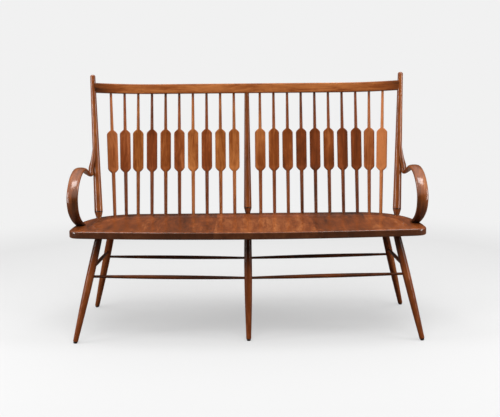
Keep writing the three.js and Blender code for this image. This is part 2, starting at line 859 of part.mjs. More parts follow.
function addBase() {
  const lines = legLines();
  const sockets = Object.fromEntries(Object.keys(lines).map((name) => [name, []]));
  const link = (name, from, fromHeight, to, toHeight, belly) => {
    const line = stretcherLine(atHeight(lines[from], fromHeight), atHeight(lines[to], toHeight));
    const [near, far] = stretcherSockets(line);
    sockets[from].push(near);
    sockets[to].push(far);
    add(name, stretcher(line, belly), walnut);
  };
  for (const name of Object.keys(sides)) {
    const rows = { front: frontStretcherHeight, rear: rearStretcherHeight };
    for (const [row, height] of Object.entries(rows)) {
      const [outer, inner] = [`${row}_leg_${name}`, `${row}_leg_centre`];
      const innerHeight = height - centreStretcherDrop;
      link(`${row}_stretcher_${name}`, outer, height, inner, innerHeight, stretcherBellyRadius);
    }
  }
  for (const name of Object.keys(places)) {
    const [from, to] = [`front_leg_${name}`, `rear_leg_${name}`];
    const heights = [sideStretcherFrontHeight, sideStretcherRearHeight];
    link(`side_stretcher_${name}`, from, heights[0], to, heights[1], sideStretcherBellyRadius);
  }
  for (const [name, line] of Object.entries(lines)) {
    add(name, carve(leg(line), [...sockets[name], nailSocket(line)]), walnut);
    add(name.replace('leg', 'glide'), glide(line), blackGlide);
  }
  return Object.values(lines).map(legSocket);
}

function addBack() {
  const seatSockets = [];
  const railSockets = [];
  const lines = spindleLines();
  for (const [name, side] of Object.entries(sides)) {
    lines.forEach((line, i) => {
      const { seat, rail } = spindleSockets(line, side, spindleFootRadius, spindleTopRadius);
      seatSockets.push(seat);
      railSockets.push(rail);
      const number = String(i + 1).padStart(2, '0');
      const tones = spindleBoards[name];
      add(`spindle_${name}_${number}`, spindle(line, side), boards[tones[i % tones.length]]);
    });
  }
  const centre = spindleSockets(centreLine, 1, centrePostFootRadius, centrePostTenonRadius);
  seatSockets.push(centre.seat);
  railSockets.push(centre.rail);
  add('centre_post', centrePost(), walnut);

  const posts = Object.values(sides).map((side) => outerPost(side, fit));
  const tenons = Object.values(sides).map((side) => railTenon(side, 0));
  const rail = carve(join(carve(railBlank(), posts), tenons), railSockets);
  add('crest_rail', rail, walnutLight);

  for (const [name, side] of Object.entries(sides)) {
    const screws = screwStations.map((station) => screwLine(station, side));
    const holes = screws.flatMap(screwHoles);
    add(`outer_post_${name}`, carve(outerPost(side), [railTenon(side, fit), ...holes]), walnut);
    const armCuts = [outerPost(side, fit), belowSeat(side), dowelSocket(side), ...holes];
    add(`arm_${name}`, carve(armBlank(side), armCuts), walnut);
    add(`arm_dowel_${name}`, armDowel(side), walnutDark);
    screws.forEach((line, i) => add(`arm_screw_${name}_${i + 1}`, screw(line), steel));
    const foot = mirror(postFoot, side);
    const along = mirror(postAlong, side);
    const bottom = foot.clone().addScaledVector(along, -postTenon - fit);
    seatSockets.push(bore(bottom, foot.clone().addScaledVector(along, overrun), postFootRadius));
    seatSockets.push(dowelSocket(side));
  }
  return seatSockets;
}

const seatCuts = [...addBase(), ...addBack()];
add('seat', carve(seatPlank(), seatCuts), walnut);

// The origin lies on the floor under the middle of the whole settee
settee.updateMatrixWorld(true);
const extent = new THREE.Box3().setFromObject(settee, true);
settee.position.y = -(extent.min.y + extent.max.y) / 2;

export default settee;
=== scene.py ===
"""Spindle-back walnut settee: saddled seat, turned legs, paddle spindles and bent arms."""

import math
from collections import namedtuple
from types import SimpleNamespace

import bpy
import numpy as np
from bpy.props import FloatProperty, FloatVectorProperty, IntProperty, PointerProperty
from mathutils import Matrix, Vector


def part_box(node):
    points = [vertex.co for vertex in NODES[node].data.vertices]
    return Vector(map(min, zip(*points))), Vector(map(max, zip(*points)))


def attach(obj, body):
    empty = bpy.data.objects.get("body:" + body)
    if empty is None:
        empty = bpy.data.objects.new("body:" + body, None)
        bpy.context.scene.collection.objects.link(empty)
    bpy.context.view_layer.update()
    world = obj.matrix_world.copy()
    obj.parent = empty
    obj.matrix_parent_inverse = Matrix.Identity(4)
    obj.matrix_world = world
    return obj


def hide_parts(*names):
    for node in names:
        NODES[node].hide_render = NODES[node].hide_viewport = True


bl_info = {
    "name": "Spindle-back settee",
    "version": (1, 0, 0),
    "blender": (4, 5, 0),
    "location": "View3D > Sidebar > Settee",
    "description": "Makes the pieces of a spindle-back settee round its frame",
    "category": "Object",
}

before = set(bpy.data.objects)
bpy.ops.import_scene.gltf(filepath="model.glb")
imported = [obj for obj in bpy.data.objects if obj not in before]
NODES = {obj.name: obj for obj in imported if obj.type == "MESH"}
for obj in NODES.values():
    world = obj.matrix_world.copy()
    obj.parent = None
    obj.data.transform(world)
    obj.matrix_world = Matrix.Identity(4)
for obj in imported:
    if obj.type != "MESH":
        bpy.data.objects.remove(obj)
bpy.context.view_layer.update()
BODY = "root"
SIDES = {"left": -1, "right": 1}
ROWS = ("front", "rear")
PLACES = ("left", "centre", "right")
SHARP_ANGLE = math.radians(35)
QUARTER = math.pi / 2
RIGHT = Vector((1, 0, 0))
UP = Vector((0, 0, 1))


# Properties

def property_kind(make, **fixed):
    """A kind of property: only its name, description and default differ."""
    def one(name, description, default):
        return make(name=name, description=description, default=default, **fixed)
    return one


length = property_kind(FloatProperty, min=0, precision=4, unit="LENGTH")
share = property_kind(FloatProperty, min=0, soft_max=1, subtype="FACTOR")
angle = property_kind(FloatProperty, subtype="ANGLE")
amount = property_kind(FloatProperty, min=0)
power = property_kind(FloatProperty, min=0, unit="POWER")
count = property_kind(IntProperty, min=3)
pair = property_kind(FloatVectorProperty, size=2)
colour = property_kind(FloatVectorProperty, min=0, max=1, size=3, subtype="COLOR")

SEAT_LOW, SEAT_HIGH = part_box("seat")


class SeatSizes(bpy.types.PropertyGroup):
    width: length("Width", "Width of the plank over its sides", SEAT_HIGH.x - SEAT_LOW.x)
    depth: length("Depth", "Depth of the plank from its bowed front to the back", 0.492)
    thickness: length("Thickness", "Thickness of the plank", 0.028)
    tilt: angle("Tilt", "How far the plank leans back", math.radians(1.9))
    front_bow: length("Front bow", "How far the front edge bows forward", 0.050)
    front_corner_width: length("Front corner width", "Width of the rounded front corner", 0.040)
    front_corner_depth: length("Front corner depth", "Depth of the rounded front corner", 0.052)
    rear_corner_width: length("Rear corner width", "Width of the swept rear corner", 0.240)
    rear_corner_depth: length("Rear corner depth", "Depth of the swept rear corner", 0.384)
    corner_fullness: share("Corner fullness", "How far the rear corner swells outward", 0.68)
    edge_radius: length("Edge radius", "Radius of the rounded edges", 0.005)
    deck_width: length("Deck width", "Width of the flat deck round the sides and back", 0.062)
    front_roll: length("Front roll", "Width of the flat roll along the front", 0.020)
    dish_slope: length("Dish slope", "Width of the slope down into the saddle", 0.075)
    dish_depth: length("Dish depth", "Depth of the saddle", 0.007)
    # Painted shade along the back of the seat, round the spindles' feet
    rear_zone: length("Rear zone", "Depth of the darker zone along the back", 0.130)
    rear_tone: share("Rear tone", "How much darker the zone along the back is", 0.16)
    corner_ease: share("Corner ease", "How much rounder the edge is at the front corners", 0.8)
    corner_roll: length("Corner roll", "Width of the flat roll at the front corners", 0.085)


class TurnedSizes(bpy.types.PropertyGroup):
    leg_top: length("Leg top radius", "Radius of a leg where it enters the seat", 0.0135)
    leg_belly: length("Leg belly radius", "Radius of a leg at its fullest", 0.0153)
    leg_foot: length("Leg foot radius", "Radius of a leg at the floor", 0.0094)
    leg_belly_share: share("Leg belly height", "Height of the belly along the leg", 0.66)
    # Painted shade from the seat on the top of each leg
    leg_shade: share("Leg shade", "How much darker a leg is under the seat", 0.36)
    foot_ease: length("Foot easing", "Rounding of the end of a leg", 0.0016)
    glide_radius: length("Glide radius", "Radius of the glide under a foot", 0.0078)
    glide_height: length("Glide height", "Height of the glide", 0.006)
    glide_dome: length("Glide dome", "Height of the dome of the glide", 0.005)
    glide_wear: length("Glide wear", "How far the glide is worn flat", 0.0014)
    nail_radius: length("Nail radius", "Radius of the nail of a glide", 0.0016)
    nail_length: length("Nail length", "Length of the nail of a glide", 0.016)
    stretcher_end: length("Stretcher end radius", "Radius of a stretcher at its ends", 0.0047)
    stretcher_belly: length("Stretcher belly radius", "Radius of a long stretcher", 0.008)
    side_belly: length("Side stretcher belly radius", "Radius of a side stretcher", 0.0074)
    dowel: length("Dowel radius", "Radius of the dowel under an arm", 0.0045)
    sides: count("Sides", "Faces round a turned piece", 48)
    rings: count("Rings", "Rings along a turned piece", 40)


class PostSizes(bpy.types.PropertyGroup):
    tenon: length("Post tenon", "Depth of an outer post in the seat", 0.01596)
    foot: length("Foot radius", "Radius of an outer post at the seat", 0.0105)
    swell: length("Swell radius", "Radius of an outer post at its scored ring", 0.0172)
    top: length("Top radius", "Radius of an outer post below its crown", 0.0106)
    swell_rise: length("Ring height", "Height of the scored ring over the seat", 0.025)
    ring_depth: length("Ring depth", "Depth of the scored ring", 0.0008)
    ring_width: length("Ring width", "Width of the scored ring", 0.002)
    crown: length("Crown height", "Height of the rounded top", 0.0075)
    centre_tenon: length("Centre tenon", "Depth of the centre post in the seat", 0.01064)
    centre_foot: length("Centre foot radius", "Radius of the centre post at the seat", 0.0095)
    centre_swell: length("Centre swell radius", "Radius of the centre post at its ring", 0.0162)
    centre_top: length("Centre top radius", "Radius of the centre post under the rail", 0.0094)
    rail_tenon: length("Rail tenon", "Depth of the spindles and centre post in the rail", 0.016)


class RailSizes(bpy.types.PropertyGroup):
    height: length("Height", "Height of the crest rail", 0.040)
    thickness: length("Thickness", "Thickness of the crest rail", 0.022)
    straight: length("Straight", "Half length of the straight middle of the rail", 0.380)
    edge_radius: length("Edge radius", "Radius of the rounded edges of the rail", 0.004)
    steps: count("Steps", "Sections along the rail", 160)
    drift: amount("Drift", "How much darker the rail grows to the right, for each metre", 0.08)
    # The bends' darkening is painted shade
    end_tones: pair("End tones", "How much darker the left and right bends are", (0.56, 0.32))


class SpindleSizes(bpy.types.PropertyGroup):
    foot: length("Foot radius", "Radius of a spindle at the seat", 0.0068)
    lower: length("Lower radius", "Radius of a spindle under its blade", 0.0077)
    upper: length("Upper radius", "Radius of a spindle over its blade", 0.0067)
    top: length("Top radius", "Radius of a spindle under the rail", 0.0052)
    blade_width: length("Blade width", "Width of the flat blade", 0.045)
    blade_thickness: length("Blade thickness", "Thickness of the flat blade", 0.009)
    blade_bottom: length("Blade bottom", "Height of the blade over the seat", 0.201)
    blade_length: length("Blade length", "Length of the blade at full width", 0.140)
    shoulder: length("Shoulder", "Length of the shoulder at each end of the blade", 0.020)
    squareness: amount("Squareness", "How square the section of the blade is", 4.2)
    shadow_length: length("Dark end length", "Length of the darker end under the rail", 0.030)
    shadow_tone: share("Dark end tone", "How much darker a spindle is under the rail", 0.26)
    foot_tone: share("Foot tone", "How much darker a spindle is under its blade", 0.05)
    sides: count("Sides", "Faces round a spindle", 32)
    rings: count("Rings", "Rings along a spindle", 80)


class ArmSizes(bpy.types.PropertyGroup):
    width: length("Width", "Width of the bent ribbon of an arm", 0.0455)
    thickness: length("Thickness", "Thickness of the ribbon", 0.016)
    tip_height: length("Tip height", "Height of the tip of the tongue", 0.721)
    bend_height: length("Bend height", "Height at which the arm leaves the post", 0.602)
    top_height: length("Top height", "Height of the top of the arch", 0.636)
    spread: length("Spread", "How far the arm swings out past the post", 0.051)
    front_back: length("Front", "Distance of the arm's front from the seat's front", 0.128)
    bite: length("Bite", "Depth to which the tongue is coped round the post", 0.003)
    squareness: amount("Squareness", "How square the edges of the ribbon are", 2.7)
    crown: amount("Crown", "How flat the crowned faces of the ribbon are, from 2", 2.25)
    sides: count("Sides", "Points round the section of an arm", 40)
    steps: count("Steps", "Sections along an arm", 220)
    # Painted shade at the foot of each arm
    foot_tone: share("Foot tone", "How much darker an arm is at its foot", 0.58)


class ScrewSizes(bpy.types.PropertyGroup):
    head: length("Head radius", "Radius of the head of a wood screw", 0.0038)
    head_height: length("Head height", "Height of the countersunk head", 0.003)
    shank: length("Shank radius", "Radius of the shank", 0.0018)
    slot_width: length("Slot width", "Width of the slot in the head", 0.0009)
    slot_depth: length("Slot depth", "Depth of the slot in the head", 0.0012)


class Finish(bpy.types.PropertyGroup):
    dark: colour("Dark walnut", "Darkest streaks of the walnut", (0.028, 0.0085, 0.0024))
    middle: colour("Walnut", "Body colour of the walnut", (0.200, 0.0530, 0.0110))
    light: colour("Light walnut", "Palest streaks of the walnut", (0.52, 0.202, 0.0640))
    golden: colour("Golden tint", "Tint of the golden boards", (1.0, 1.0, 0.80))
    red: colour("Red tint", "Tint of the reddish boards", (0.95, 0.80, 0.95))
    roughness: share("Roughness", "Roughness of the wood under the lacquer", 0.36)
    seat_roughness: share("Seat roughness", "Roughness of the wood of the seat", 0.40)
    pores: share("Pores", "Depth of the open pores", 0.12)
    wear: share("Wear", "How much paler worn edges are", 0.07)
    # Painted shade in the corners between the pieces
    painted_corner_shade: share("Crevices", "How dark the corners between the pieces are", 0.85)
    steel: colour("Steel", "Colour of the screws", (0.42, 0.41, 0.40))
    glide: colour("Glide", "Colour of the glides", (0.020, 0.017, 0.015))


class Stage(bpy.types.PropertyGroup):
    background: colour("Background", "Colour behind the settee", (0.88, 0.88, 0.88))
    floor: colour("Floor", "Colour of the floor", (0.53, 0.53, 0.53))
    shadow_lift: share("Shadow lift", "How much of the shadow on the floor is washed out", 0.52)
    floor_size: length("Floor size", "Half length of the floor", 20.0)
    fade_start: length("Fade start", "Where the floor begins to turn into the background", 1.1)
    fade_end: length("Fade end", "Where the floor has become the background", 2.6)
    floor_bounce: colour("Floor bounce", "What the floor sends back to the settee", (0.13, 0.07, 0.04))
    front: power("Front", "Power of the softbox high up in front", 135)
    top: power("Top", "Power of each of the two softboxes over the settee", 22)
    left_strip: power("Left strip", "Power of the strip light on the left", 26)
    right_strip: power("Right strip", "Power of the strip light on the right", 24)
    back: power("Back", "Power of the softbox behind the settee", 9)
    reflected: share("Reflected background", "How much of the background shows in the gloss", 0.02)
    reflected_floor: share("Reflected floor", "How much of the pale floor shows in the gloss", 0.04)
    walls: amount("Walls", "Brightness of the studio's walls", 0.03)
    ceiling: amount("Ceiling", "Brightness of the studio's ceiling", 0.9)


SETTINGS = {
    "seat": SeatSizes, "turned": TurnedSizes, "posts": PostSizes, "rail": RailSizes,
    "spindles": SpindleSizes, "arms": ArmSizes, "screws": ScrewSizes, "finish": Finish,
    "stage": Stage,
}


class SetteeSettings(bpy.types.PropertyGroup):
    __annotations__ = {name: PointerProperty(type=group) for name, group in SETTINGS.items()}


# Boards: tone runs from dark to light, redness from golden to red
Board = namedtuple("Board", "tone redness slot", defaults=["walnut"])
LIGHT, DARK = "walnut_light", "walnut_dark"
SPINDLE_BOARDS = {
    "left": (
        (0.60, 0.25, LIGHT), (0.56, 0.15, LIGHT), (0.42, 0.75, DARK), (0.60, 0.20, LIGHT),
        (0.44, 0.65), (0.43, 0.35), (0.34, 0.80, DARK), (0.55, 0.10, LIGHT), (0.44, 0.80),
        (0.60, 0.65),
    ),
    "right": (
        (0.54, 0.30, LIGHT), (0.41, 0.40), (0.43, 0.40), (0.27, 0.70, DARK),
        (0.27, 0.80, DARK), (0.40, 0.50), (0.28, 0.75, DARK), (0.36, 0.80, DARK), (0.58, 0.60),
        (1.0, 0.60, LIGHT),
    ),
}
RAIL_BOARD = Board(0.63, 0.30, LIGHT)
POST_BOARD = Board(0.48, 0.30)
CENTRE_BOARD = Board(0.31, 0.25)
ARM_BOARD = Board(0.46, 0.10)
LEG_BOARD = Board(0.44, 0.55)
PALE_LEG_BOARD = Board(0.66, 0.62)
# The stretchers' low tone is dark wood and painted shade from the seat above them
STRETCHER_BOARD = Board(0.13, 0.45)
DOWEL_BOARD = Board(0.42, 0.55, DARK)
SEAT_WOOD = Board(0.0, 0.5)
NO_WOOD = Board(0.0, 0.0)

# Painted shade on the rim and crease round the saddle, and a painted highlight on its slope: ring of the
# plank and how dark it is.
# They fade out towards the middle of the settee.
CREASE_RINGS = (18, 20, 21, 22, 24, 32)
CREASE_PAINTED_SHADING = (0.0, 0.10, 0.20, -0.02, -0.07, 0.0)

# Boards of the seat from the left: where each one starts, and its tone
SEAT_BOARDS = (
    (-0.70, 0.38), (-0.53, 0.38), (-0.345, 0.33), (-0.13, 0.47), (0.07, 0.51), (0.26, 0.31), (0.48, 0.46)
)


# Reading the frame

Stick = namedtuple("Stick", "start axis side length")


def corners(node):
    """The corners of a frame piece, each one once."""
    mesh = NODES[node].data
    flat = np.empty(len(mesh.vertices) * 3)
    mesh.vertices.foreach_get("co", flat)
    return np.unique(flat.reshape(-1, 3).round(6), axis=0)


def centre_line(points, tolerance=0.0004):
    """The two ends of the centre line of a round piece whose end rings are square to it."""
    middle = points.mean(0)
    axis = np.linalg.svd(points - middle, full_matrices=False)[2][0]
    axis *= np.sign(axis[np.abs(axis).argmax()])
    for _ in range(4):
        along = points @ axis
        start = points[along < along.min() + tolerance].mean(0)
        end = points[along > along.max() - tolerance].mean(0)
        axis = (end - start) / np.linalg.norm(end - start)
    return start, end


def off_line(points, start, end):
    """The direction of a line, how points stand off it, and how far."""
    axis = (end - start) / np.linalg.norm(end - start)
    off = points - start
    off -= np.outer(off @ axis, axis)
    return axis, off, np.linalg.norm(off, axis=1)


def stick_of(node):
    """Where a long piece starts, which way it runs, where its widest part points, its length."""
    points = corners(node)
    start, end = centre_line(points)
    axis, off, reach = off_line(points, start, end)
    far = off[reach > 0.98 * reach.max()]
    side = (far * np.sign(far @ far[0])[:, None]).sum(0)
    side *= np.sign(side[0]) or 1
    long = float(np.linalg.norm(end - start))
    return Stick(Vector(start), Vector(axis), Vector(side).normalized(), long)


def screw_line(node):
    """A screw's head end, direction and length: the head is its wider end."""
    points = corners(node)
    start, end = centre_line(points)
    reach = off_line(points, start, end)[2]
    wide = points[reach > 0.9 * reach.max()].mean(0)
    if np.linalg.norm(wide - start) > np.linalg.norm(wide - end):
        start, end = end, start
    line = Vector(end) - Vector(start)
    return Vector(start), line.normalized(), line.length


def aimed(origin, axis, side=RIGHT):
    """Places a piece made along its own Z, with its X close to the given side."""
    z = axis.normalized()
    x = (side - z * side.dot(z)).normalized()
    place = Matrix((x, z.cross(x), z)).transposed().to_4x4()
    place.translation = origin
    return place


def seat_frame(sizes):
    """The frame of the plank: its origin is on the front edge, and its XY is the top."""
    origin = Vector((
        0,
        SEAT_LOW.y + (sizes.thickness - sizes.edge_radius) * math.sin(sizes.tilt),
        SEAT_HIGH.z + sizes.edge_radius * math.sin(sizes.tilt),
    ))
    return Matrix.Translation(origin) @ Matrix.Rotation(-sizes.tilt, 4, "X")


def seat_level(sizes, y):
    """Height of the seat's top plane at a distance from the middle of the settee."""
    origin = seat_frame(sizes).translation
    return origin.z - (y - origin.y) * math.tan(sizes.tilt)


# Meshes

# How far the painted shade in a post's scored groove reaches along the post, and how much darker it is
RING_REACH = 0.0016
GROOVE_SHADE_TONE = 0.6


def placed(name, data):
    """A new object in the scene."""
    thing = bpy.data.objects.new(name, data)
    bpy.context.scene.collection.objects.link(thing)
    return thing


def store(mesh, grain, board, darker=0.0, wear=0.0):
    """Keeps the wood's own coordinates, its board's tone and its wear on the points of a mesh."""
    tone = np.tile((board.tone, board.redness, 0.0), (len(mesh.vertices), 1))
    tone[:, 0] -= darker
    tone[:, 2] = wear
    for name, values in (("grain", grain), ("board", tone)):
        made = mesh.attributes.new(name, "FLOAT_VECTOR", "POINT")
        made.data.foreach_set("vector", np.asarray(values, np.float32).ravel())


def new_mesh(name, points, faces, material):
    mesh = bpy.data.meshes.new(name)
    mesh.from_pydata([tuple(p) for p in points], [], faces)
    mesh.polygons.foreach_set("use_smooth", [True] * len(mesh.polygons))
    mesh.materials.append(material)
    mesh.update()
    return mesh


def tube_faces(rings, sides):
    """Quads between rings of equal count, and a flat face at each end."""
    faces = []
    for r in range(rings - 1):
        for i in range(sides):
            j = (i + 1) % sides
            a, b = r * sides, (r + 1) * sides
            faces.append((a + i, a + j, b + j, b + i))
    return [*faces, tuple(reversed(range(sides))), tuple(range((rings - 1) * sides, rings * sides))]


def finish_piece(mesh, node, place=None):
    """Puts a mesh in its place as the visible form of a frame piece."""
    if place is not None:
        mesh.transform(place)
    mesh.set_sharp_from_angle(angle=SHARP_ANGLE)
    mesh.validate()
    piece = placed("fine_" + node, mesh)
    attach(piece, BODY)
    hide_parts(node)


def turned_mesh(name, profile, sides, material, board, seed, ring):
    """Turned work from pairs of radius and height, with painted shade in its scored groove."""
    turns = [2 * math.pi * i / sides for i in range(sides)]
    points = np.array([
        (radius * math.cos(turn), radius * math.sin(turn), height)
        for radius, height in profile
        for turn in turns
    ])
    mesh = new_mesh(name, points, tube_faces(len(profile), sides), material)
    # Painted shade in the scored groove
    in_groove = np.abs(points[:, 2] - ring) < RING_REACH
    store(mesh, points + board_offset(seed), board, in_groove * GROOVE_SHADE_TONE)
    return mesh


def board_offset(seed):
    """Each piece is cut from its own place in the timber."""
    return np.array((math.sin(seed * 12.9898), math.sin(seed * 78.233), seed * 0.731))


def swept(stations):
    """Rings through stations of centre, two directions and section, and the grain along them."""
    rings, grain = [], []
    walked, before = 0.0, stations[0][0]
    for centre, across, out, section in stations:
        walked += (centre - before).length
        before = centre
        rings.append([centre + across * wide + out * deep for wide, deep in section])
        grain += [(wide, deep, walked) for wide, deep in section]
    return rings, np.array(grain)


# Node trees

class Value:
    """An output of a node, used like a number: each sign adds a math node."""

    def __init__(self, nodes, socket):
        self.nodes, self.socket = nodes, socket

    def math(self, operation, *others):
        return self.nodes.math(operation, self, *others)

    def __add__(self, other):
        return self.math("ADD", other)

    def __sub__(self, other):
        return self.math("SUBTRACT", other)

    def __rsub__(self, other):
        return self.nodes.math("SUBTRACT", other, self)

    def __mul__(self, other):
        return self.math("MULTIPLY", other)

    def __truediv__(self, other):
        return self.math("DIVIDE", other)

    def __rtruediv__(self, other):
        return self.nodes.math("DIVIDE", other, self)

    def __gt__(self, other):
        return self.math("GREATER_THAN", other)

    def __lt__(self, other):
        return self.math("LESS_THAN", other)


class Nodes:
    """Writes a node tree: most calls add one node and give its first output."""

    def __init__(self, tree):
        self.tree = tree

    def feed(self, socket, value):
        if isinstance(value, Value):
            self.tree.links.new(value.socket, socket)
        else:
            socket.default_value = value

    def add(self, kind, *values, **settings):
        node = self.tree.nodes.new(kind)
        for name, value in settings.items():
            setattr(node, name, value)
        for socket, value in zip(node.inputs, values):
            self.feed(socket, value)
        return node

    def fill(self, node, values):
        """Feeds the inputs of a node by their names."""
        for name, value in values.items():
            self.feed(node.inputs[name], value)
        return node

    def out(self, kind, *values, **settings):
        return Value(self, self.add(kind, *values, **settings).outputs[0])

    def math(self, operation, *values):
        return self.out("ShaderNodeMath", *values, operation=operation)

    def vector(self, operation, *values):
        return self.out("ShaderNodeVectorMath", *values, operation=operation)

    def ramp(self, value, start, end, low=0.0, high=1.0, kind="LINEAR"):
        return self.out("ShaderNodeMapRange", value, start, end, low, high, interpolation_type=kind)

    def between(self, low, high, place):
        return self.math("MULTIPLY_ADD", self.math("SUBTRACT", high, low), place, low)

    def xyz(self, x, y, z):
        return self.out("ShaderNodeCombineXYZ", x, y, z)

    def split(self, vector):
        return [Value(self, part) for part in self.add("ShaderNodeSeparateXYZ", vector).outputs]

    def noise(self, vector, scale, detail=2.0, roughness=0.5, distortion=0.0):
        made = self.add("ShaderNodeTexNoise", vector)
        self.fill(made, {
            "Scale": scale, "Detail": detail, "Roughness": roughness, "Distortion": distortion,
        })
        return Value(self, made.outputs[0])

    def mix(self, factor, first, second, blend="MIX"):
        made = self.add("ShaderNodeMix", data_type="RGBA", blend_type=blend)
        sockets = [s for s in made.inputs if s.enabled]
        for socket, value in zip(sockets, (factor, first, second)):
            self.feed(socket, rgba(value))
        return Value(self, next(s for s in made.outputs if s.enabled))


def rgba(value):
    """A colour with its alpha, where a plain colour was given."""
    if isinstance(value, (float, Value)):
        return value
    return (*value, 1.0)


def once(kept, name, make, *values):
    """A material or tree that the operators share, made at its first use."""
    return kept.get(name) or make(name, *values)


def geometry_tree(name, keys):
    """A Geometry Nodes tree with inputs named by keys, and those that every tree has."""
    tree = bpy.data.node_groups.new(name, "GeometryNodeTree")
    kinds = dict.fromkeys(keys.split(), "Float")
    kinds |= {"sides": "Int", "rings": "Int", "board": "Vector", "cut": "Vector", "material": "Material"}
    labels = {key: key.replace("_", " ").capitalize() for key in kinds}
    for key, label in labels.items():
        tree.interface.new_socket(name=label, in_out="INPUT", socket_type="NodeSocket" + kinds[key])
    tree.interface.new_socket(name="Geometry", in_out="OUTPUT", socket_type="NodeSocketGeometry")
    nodes = Nodes(tree)
    given = nodes.add("NodeGroupInput").outputs
    return nodes, SimpleNamespace(**{key: Value(nodes, given[label]) for key, label in labels.items()})


def grown(tree, name, board, seed, material, sizes, **values):
    """The plain mesh that a tree makes: its inputs come from the values, or else from the sizes."""
    values |= {
        "board": (board.tone, board.redness, 0.0), "cut": tuple(board_offset(seed)), "material": material,
    }
    source = placed(name, bpy.data.meshes.new(name))
    modifier = source.modifiers.new("shape", "NODES")
    modifier.node_group = tree
    for item in tree.interface.items_tree:
        if item.in_out == "INPUT":
            key = item.name.lower().replace(" ", "_")
            modifier[item.identifier] = values[key] if key in values else getattr(sizes, key)
    depsgraph = bpy.context.evaluated_depsgraph_get()
    mesh = bpy.data.meshes.new_from_object(source.evaluated_get(depsgraph))
    source.modifiers.remove(modifier)
    bpy.data.objects.remove(source)
    return mesh


def cylinder(nodes, given):
    """A unit cylinder to be shaped, with its directions and its share of the height."""
    made = nodes.fill(nodes.add("GeometryNodeMeshCylinder", fill_type="NGON"), {
        "Vertices": given.sides, "Side Segments": given.rings, "Radius": 1.0, "Depth": 1.0,
    })
    x, y, z = nodes.split(nodes.out("GeometryNodeInputPosition"))
    return Value(nodes, made.outputs[0]), x, y, z + 0.5


def moved(nodes, geometry, x, y, z):
    made = nodes.add("GeometryNodeSetPosition", geometry)
    return Value(nodes, nodes.fill(made, {"Position": nodes.xyz(x, y, z)}).outputs[0])


def close_tree(nodes, given, geometry, darker=None):
    """Stores grain and board, darker by height, then realizes the instances and sets the material."""
    position = nodes.out("GeometryNodeInputPosition")
    board = given.board
    if darker:
        board = nodes.vector("SUBTRACT", board, nodes.xyz(darker(nodes.split(position)[2]), 0.0, 0.0))
    for label, value in (("grain", nodes.vector("ADD", position, given.cut)), ("board", board)):
        stored = nodes.add("GeometryNodeStoreNamedAttribute", data_type="FLOAT_VECTOR", domain="POINT")
        nodes.fill(stored, {"Geometry": geometry, "Name": label, "Value": value})
        geometry = Value(nodes, stored.outputs[0])
    smooth = nodes.out("GeometryNodeSetShadeSmooth", geometry)
    finished = nodes.add("GeometryNodeSetMaterial", nodes.out("GeometryNodeRealizeInstances", smooth))
    nodes.fill(finished, {"Material": given.material})
    nodes.add("NodeGroupOutput", Value(nodes, finished.outputs[0]))
    return nodes.tree


# Between which shares of its height a leg grows darker, as painted shade from the seat above it
LEG_SHADE_SHARES = (0.6, 0.85)


def swelled_tree(name):
    """Turned stick that swells from both ends to a belly, for legs, stretchers and dowels."""
    nodes, given = geometry_tree(name, "length bottom belly top belly_share ease top_shade")
    shape, x, y, place = cylinder(nodes, given)
    below = nodes.ramp(place, 0.0, given.belly_share, 0.0, QUARTER)
    above = nodes.ramp(place, given.belly_share, 1.0, 0.0, QUARTER)
    lower = nodes.between(given.bottom, given.belly, below.math("SINE"))
    upper = nodes.between(given.top, given.belly, above.math("COSINE"))
    # The end's edge is eased: its first ring is narrower, and its second stands just behind it
    first = 0.5 / given.rings
    radius = nodes.between(lower, upper, place > given.belly_share) - given.ease * (place < first)
    second = (place < first * 3.0) * (place > first)
    height = nodes.between(place * given.length, given.ease, second)
    geometry = moved(nodes, shape, x * radius, y * radius, height)

    def darker(level):
        return nodes.ramp(level / given.length, *LEG_SHADE_SHARES, 0.0, given.top_shade)

    return close_tree(nodes, given, geometry, darker)


# Where along its rings a spindle's neck, blade and second neck begin and end
SPINDLE_RING_SHARES = (0.0, 0.15, 0.40, 0.60, 0.85, 1.0)

# From which share of the way up to the blade a spindle grows paler
FOOT_TONE_SHARE = 0.6


def spindle_tree(name):
    """Paddle spindle: tapered round shafts that swell into a flat blade between shoulders."""
    nodes, given = geometry_tree(name, """
        length seat_tenon rail_tenon foot lower upper top blade_width blade_thickness blade_bottom
        blade_length shoulder squareness shadow_length shadow_tone foot_tone
    """)
    shape, x, y, place = cylinder(nodes, given)
    blade_top = given.blade_bottom + given.blade_length
    neck_low = given.blade_bottom - given.shoulder
    neck_high = blade_top + given.shoulder
    height = given.seat_tenon * -1.0
    stops = (height, neck_low, given.blade_bottom, blade_top, neck_high, given.length + given.rail_tenon)
    for i in range(len(stops) - 1):
        part = nodes.ramp(place, *SPINDLE_RING_SHARES[i:i + 2])
        height = nodes.math("MULTIPLY_ADD", stops[i + 1] - stops[i], part, height)
    rising = nodes.ramp(height, neck_low, given.blade_bottom)
    flat = rising.math("MINIMUM", nodes.ramp(height, neck_high, blade_top))
    wide = (flat * QUARTER).math("SINE")
    lower = nodes.ramp(height, 0.0, neck_low, given.foot, given.lower)
    upper = nodes.ramp(height, neck_high, given.length, given.upper, given.top)
    shaft = nodes.between(lower, upper, height > (neck_low + neck_high) * 0.5)
    half_width = nodes.between(shaft, given.blade_width * 0.5, wide)
    half_depth = nodes.between(shaft, given.blade_thickness * 0.5, flat)
    exponent = 2.0 / nodes.between(2.0, given.squareness, wide)

    def squared(direction, reach):
        return direction.math("ABSOLUTE").math("POWER", exponent) * direction.math("SIGN") * reach

    def darker(level):
        end = nodes.ramp(level, given.length - given.shadow_length, given.length, 0.0, given.shadow_tone)
        return end + nodes.ramp(
            level, given.blade_bottom * FOOT_TONE_SHARE, given.blade_bottom, given.foot_tone, 0.0
        )

    geometry = moved(nodes, shape, squared(x, half_width), squared(y, half_depth), height)
    return close_tree(nodes, given, geometry, darker)


# Where along its rings a glide's dome ends, and its back, its nail and the nail's end begin
GLIDE_RING_SHARES = (0.6, 0.65, 0.75, 0.85)


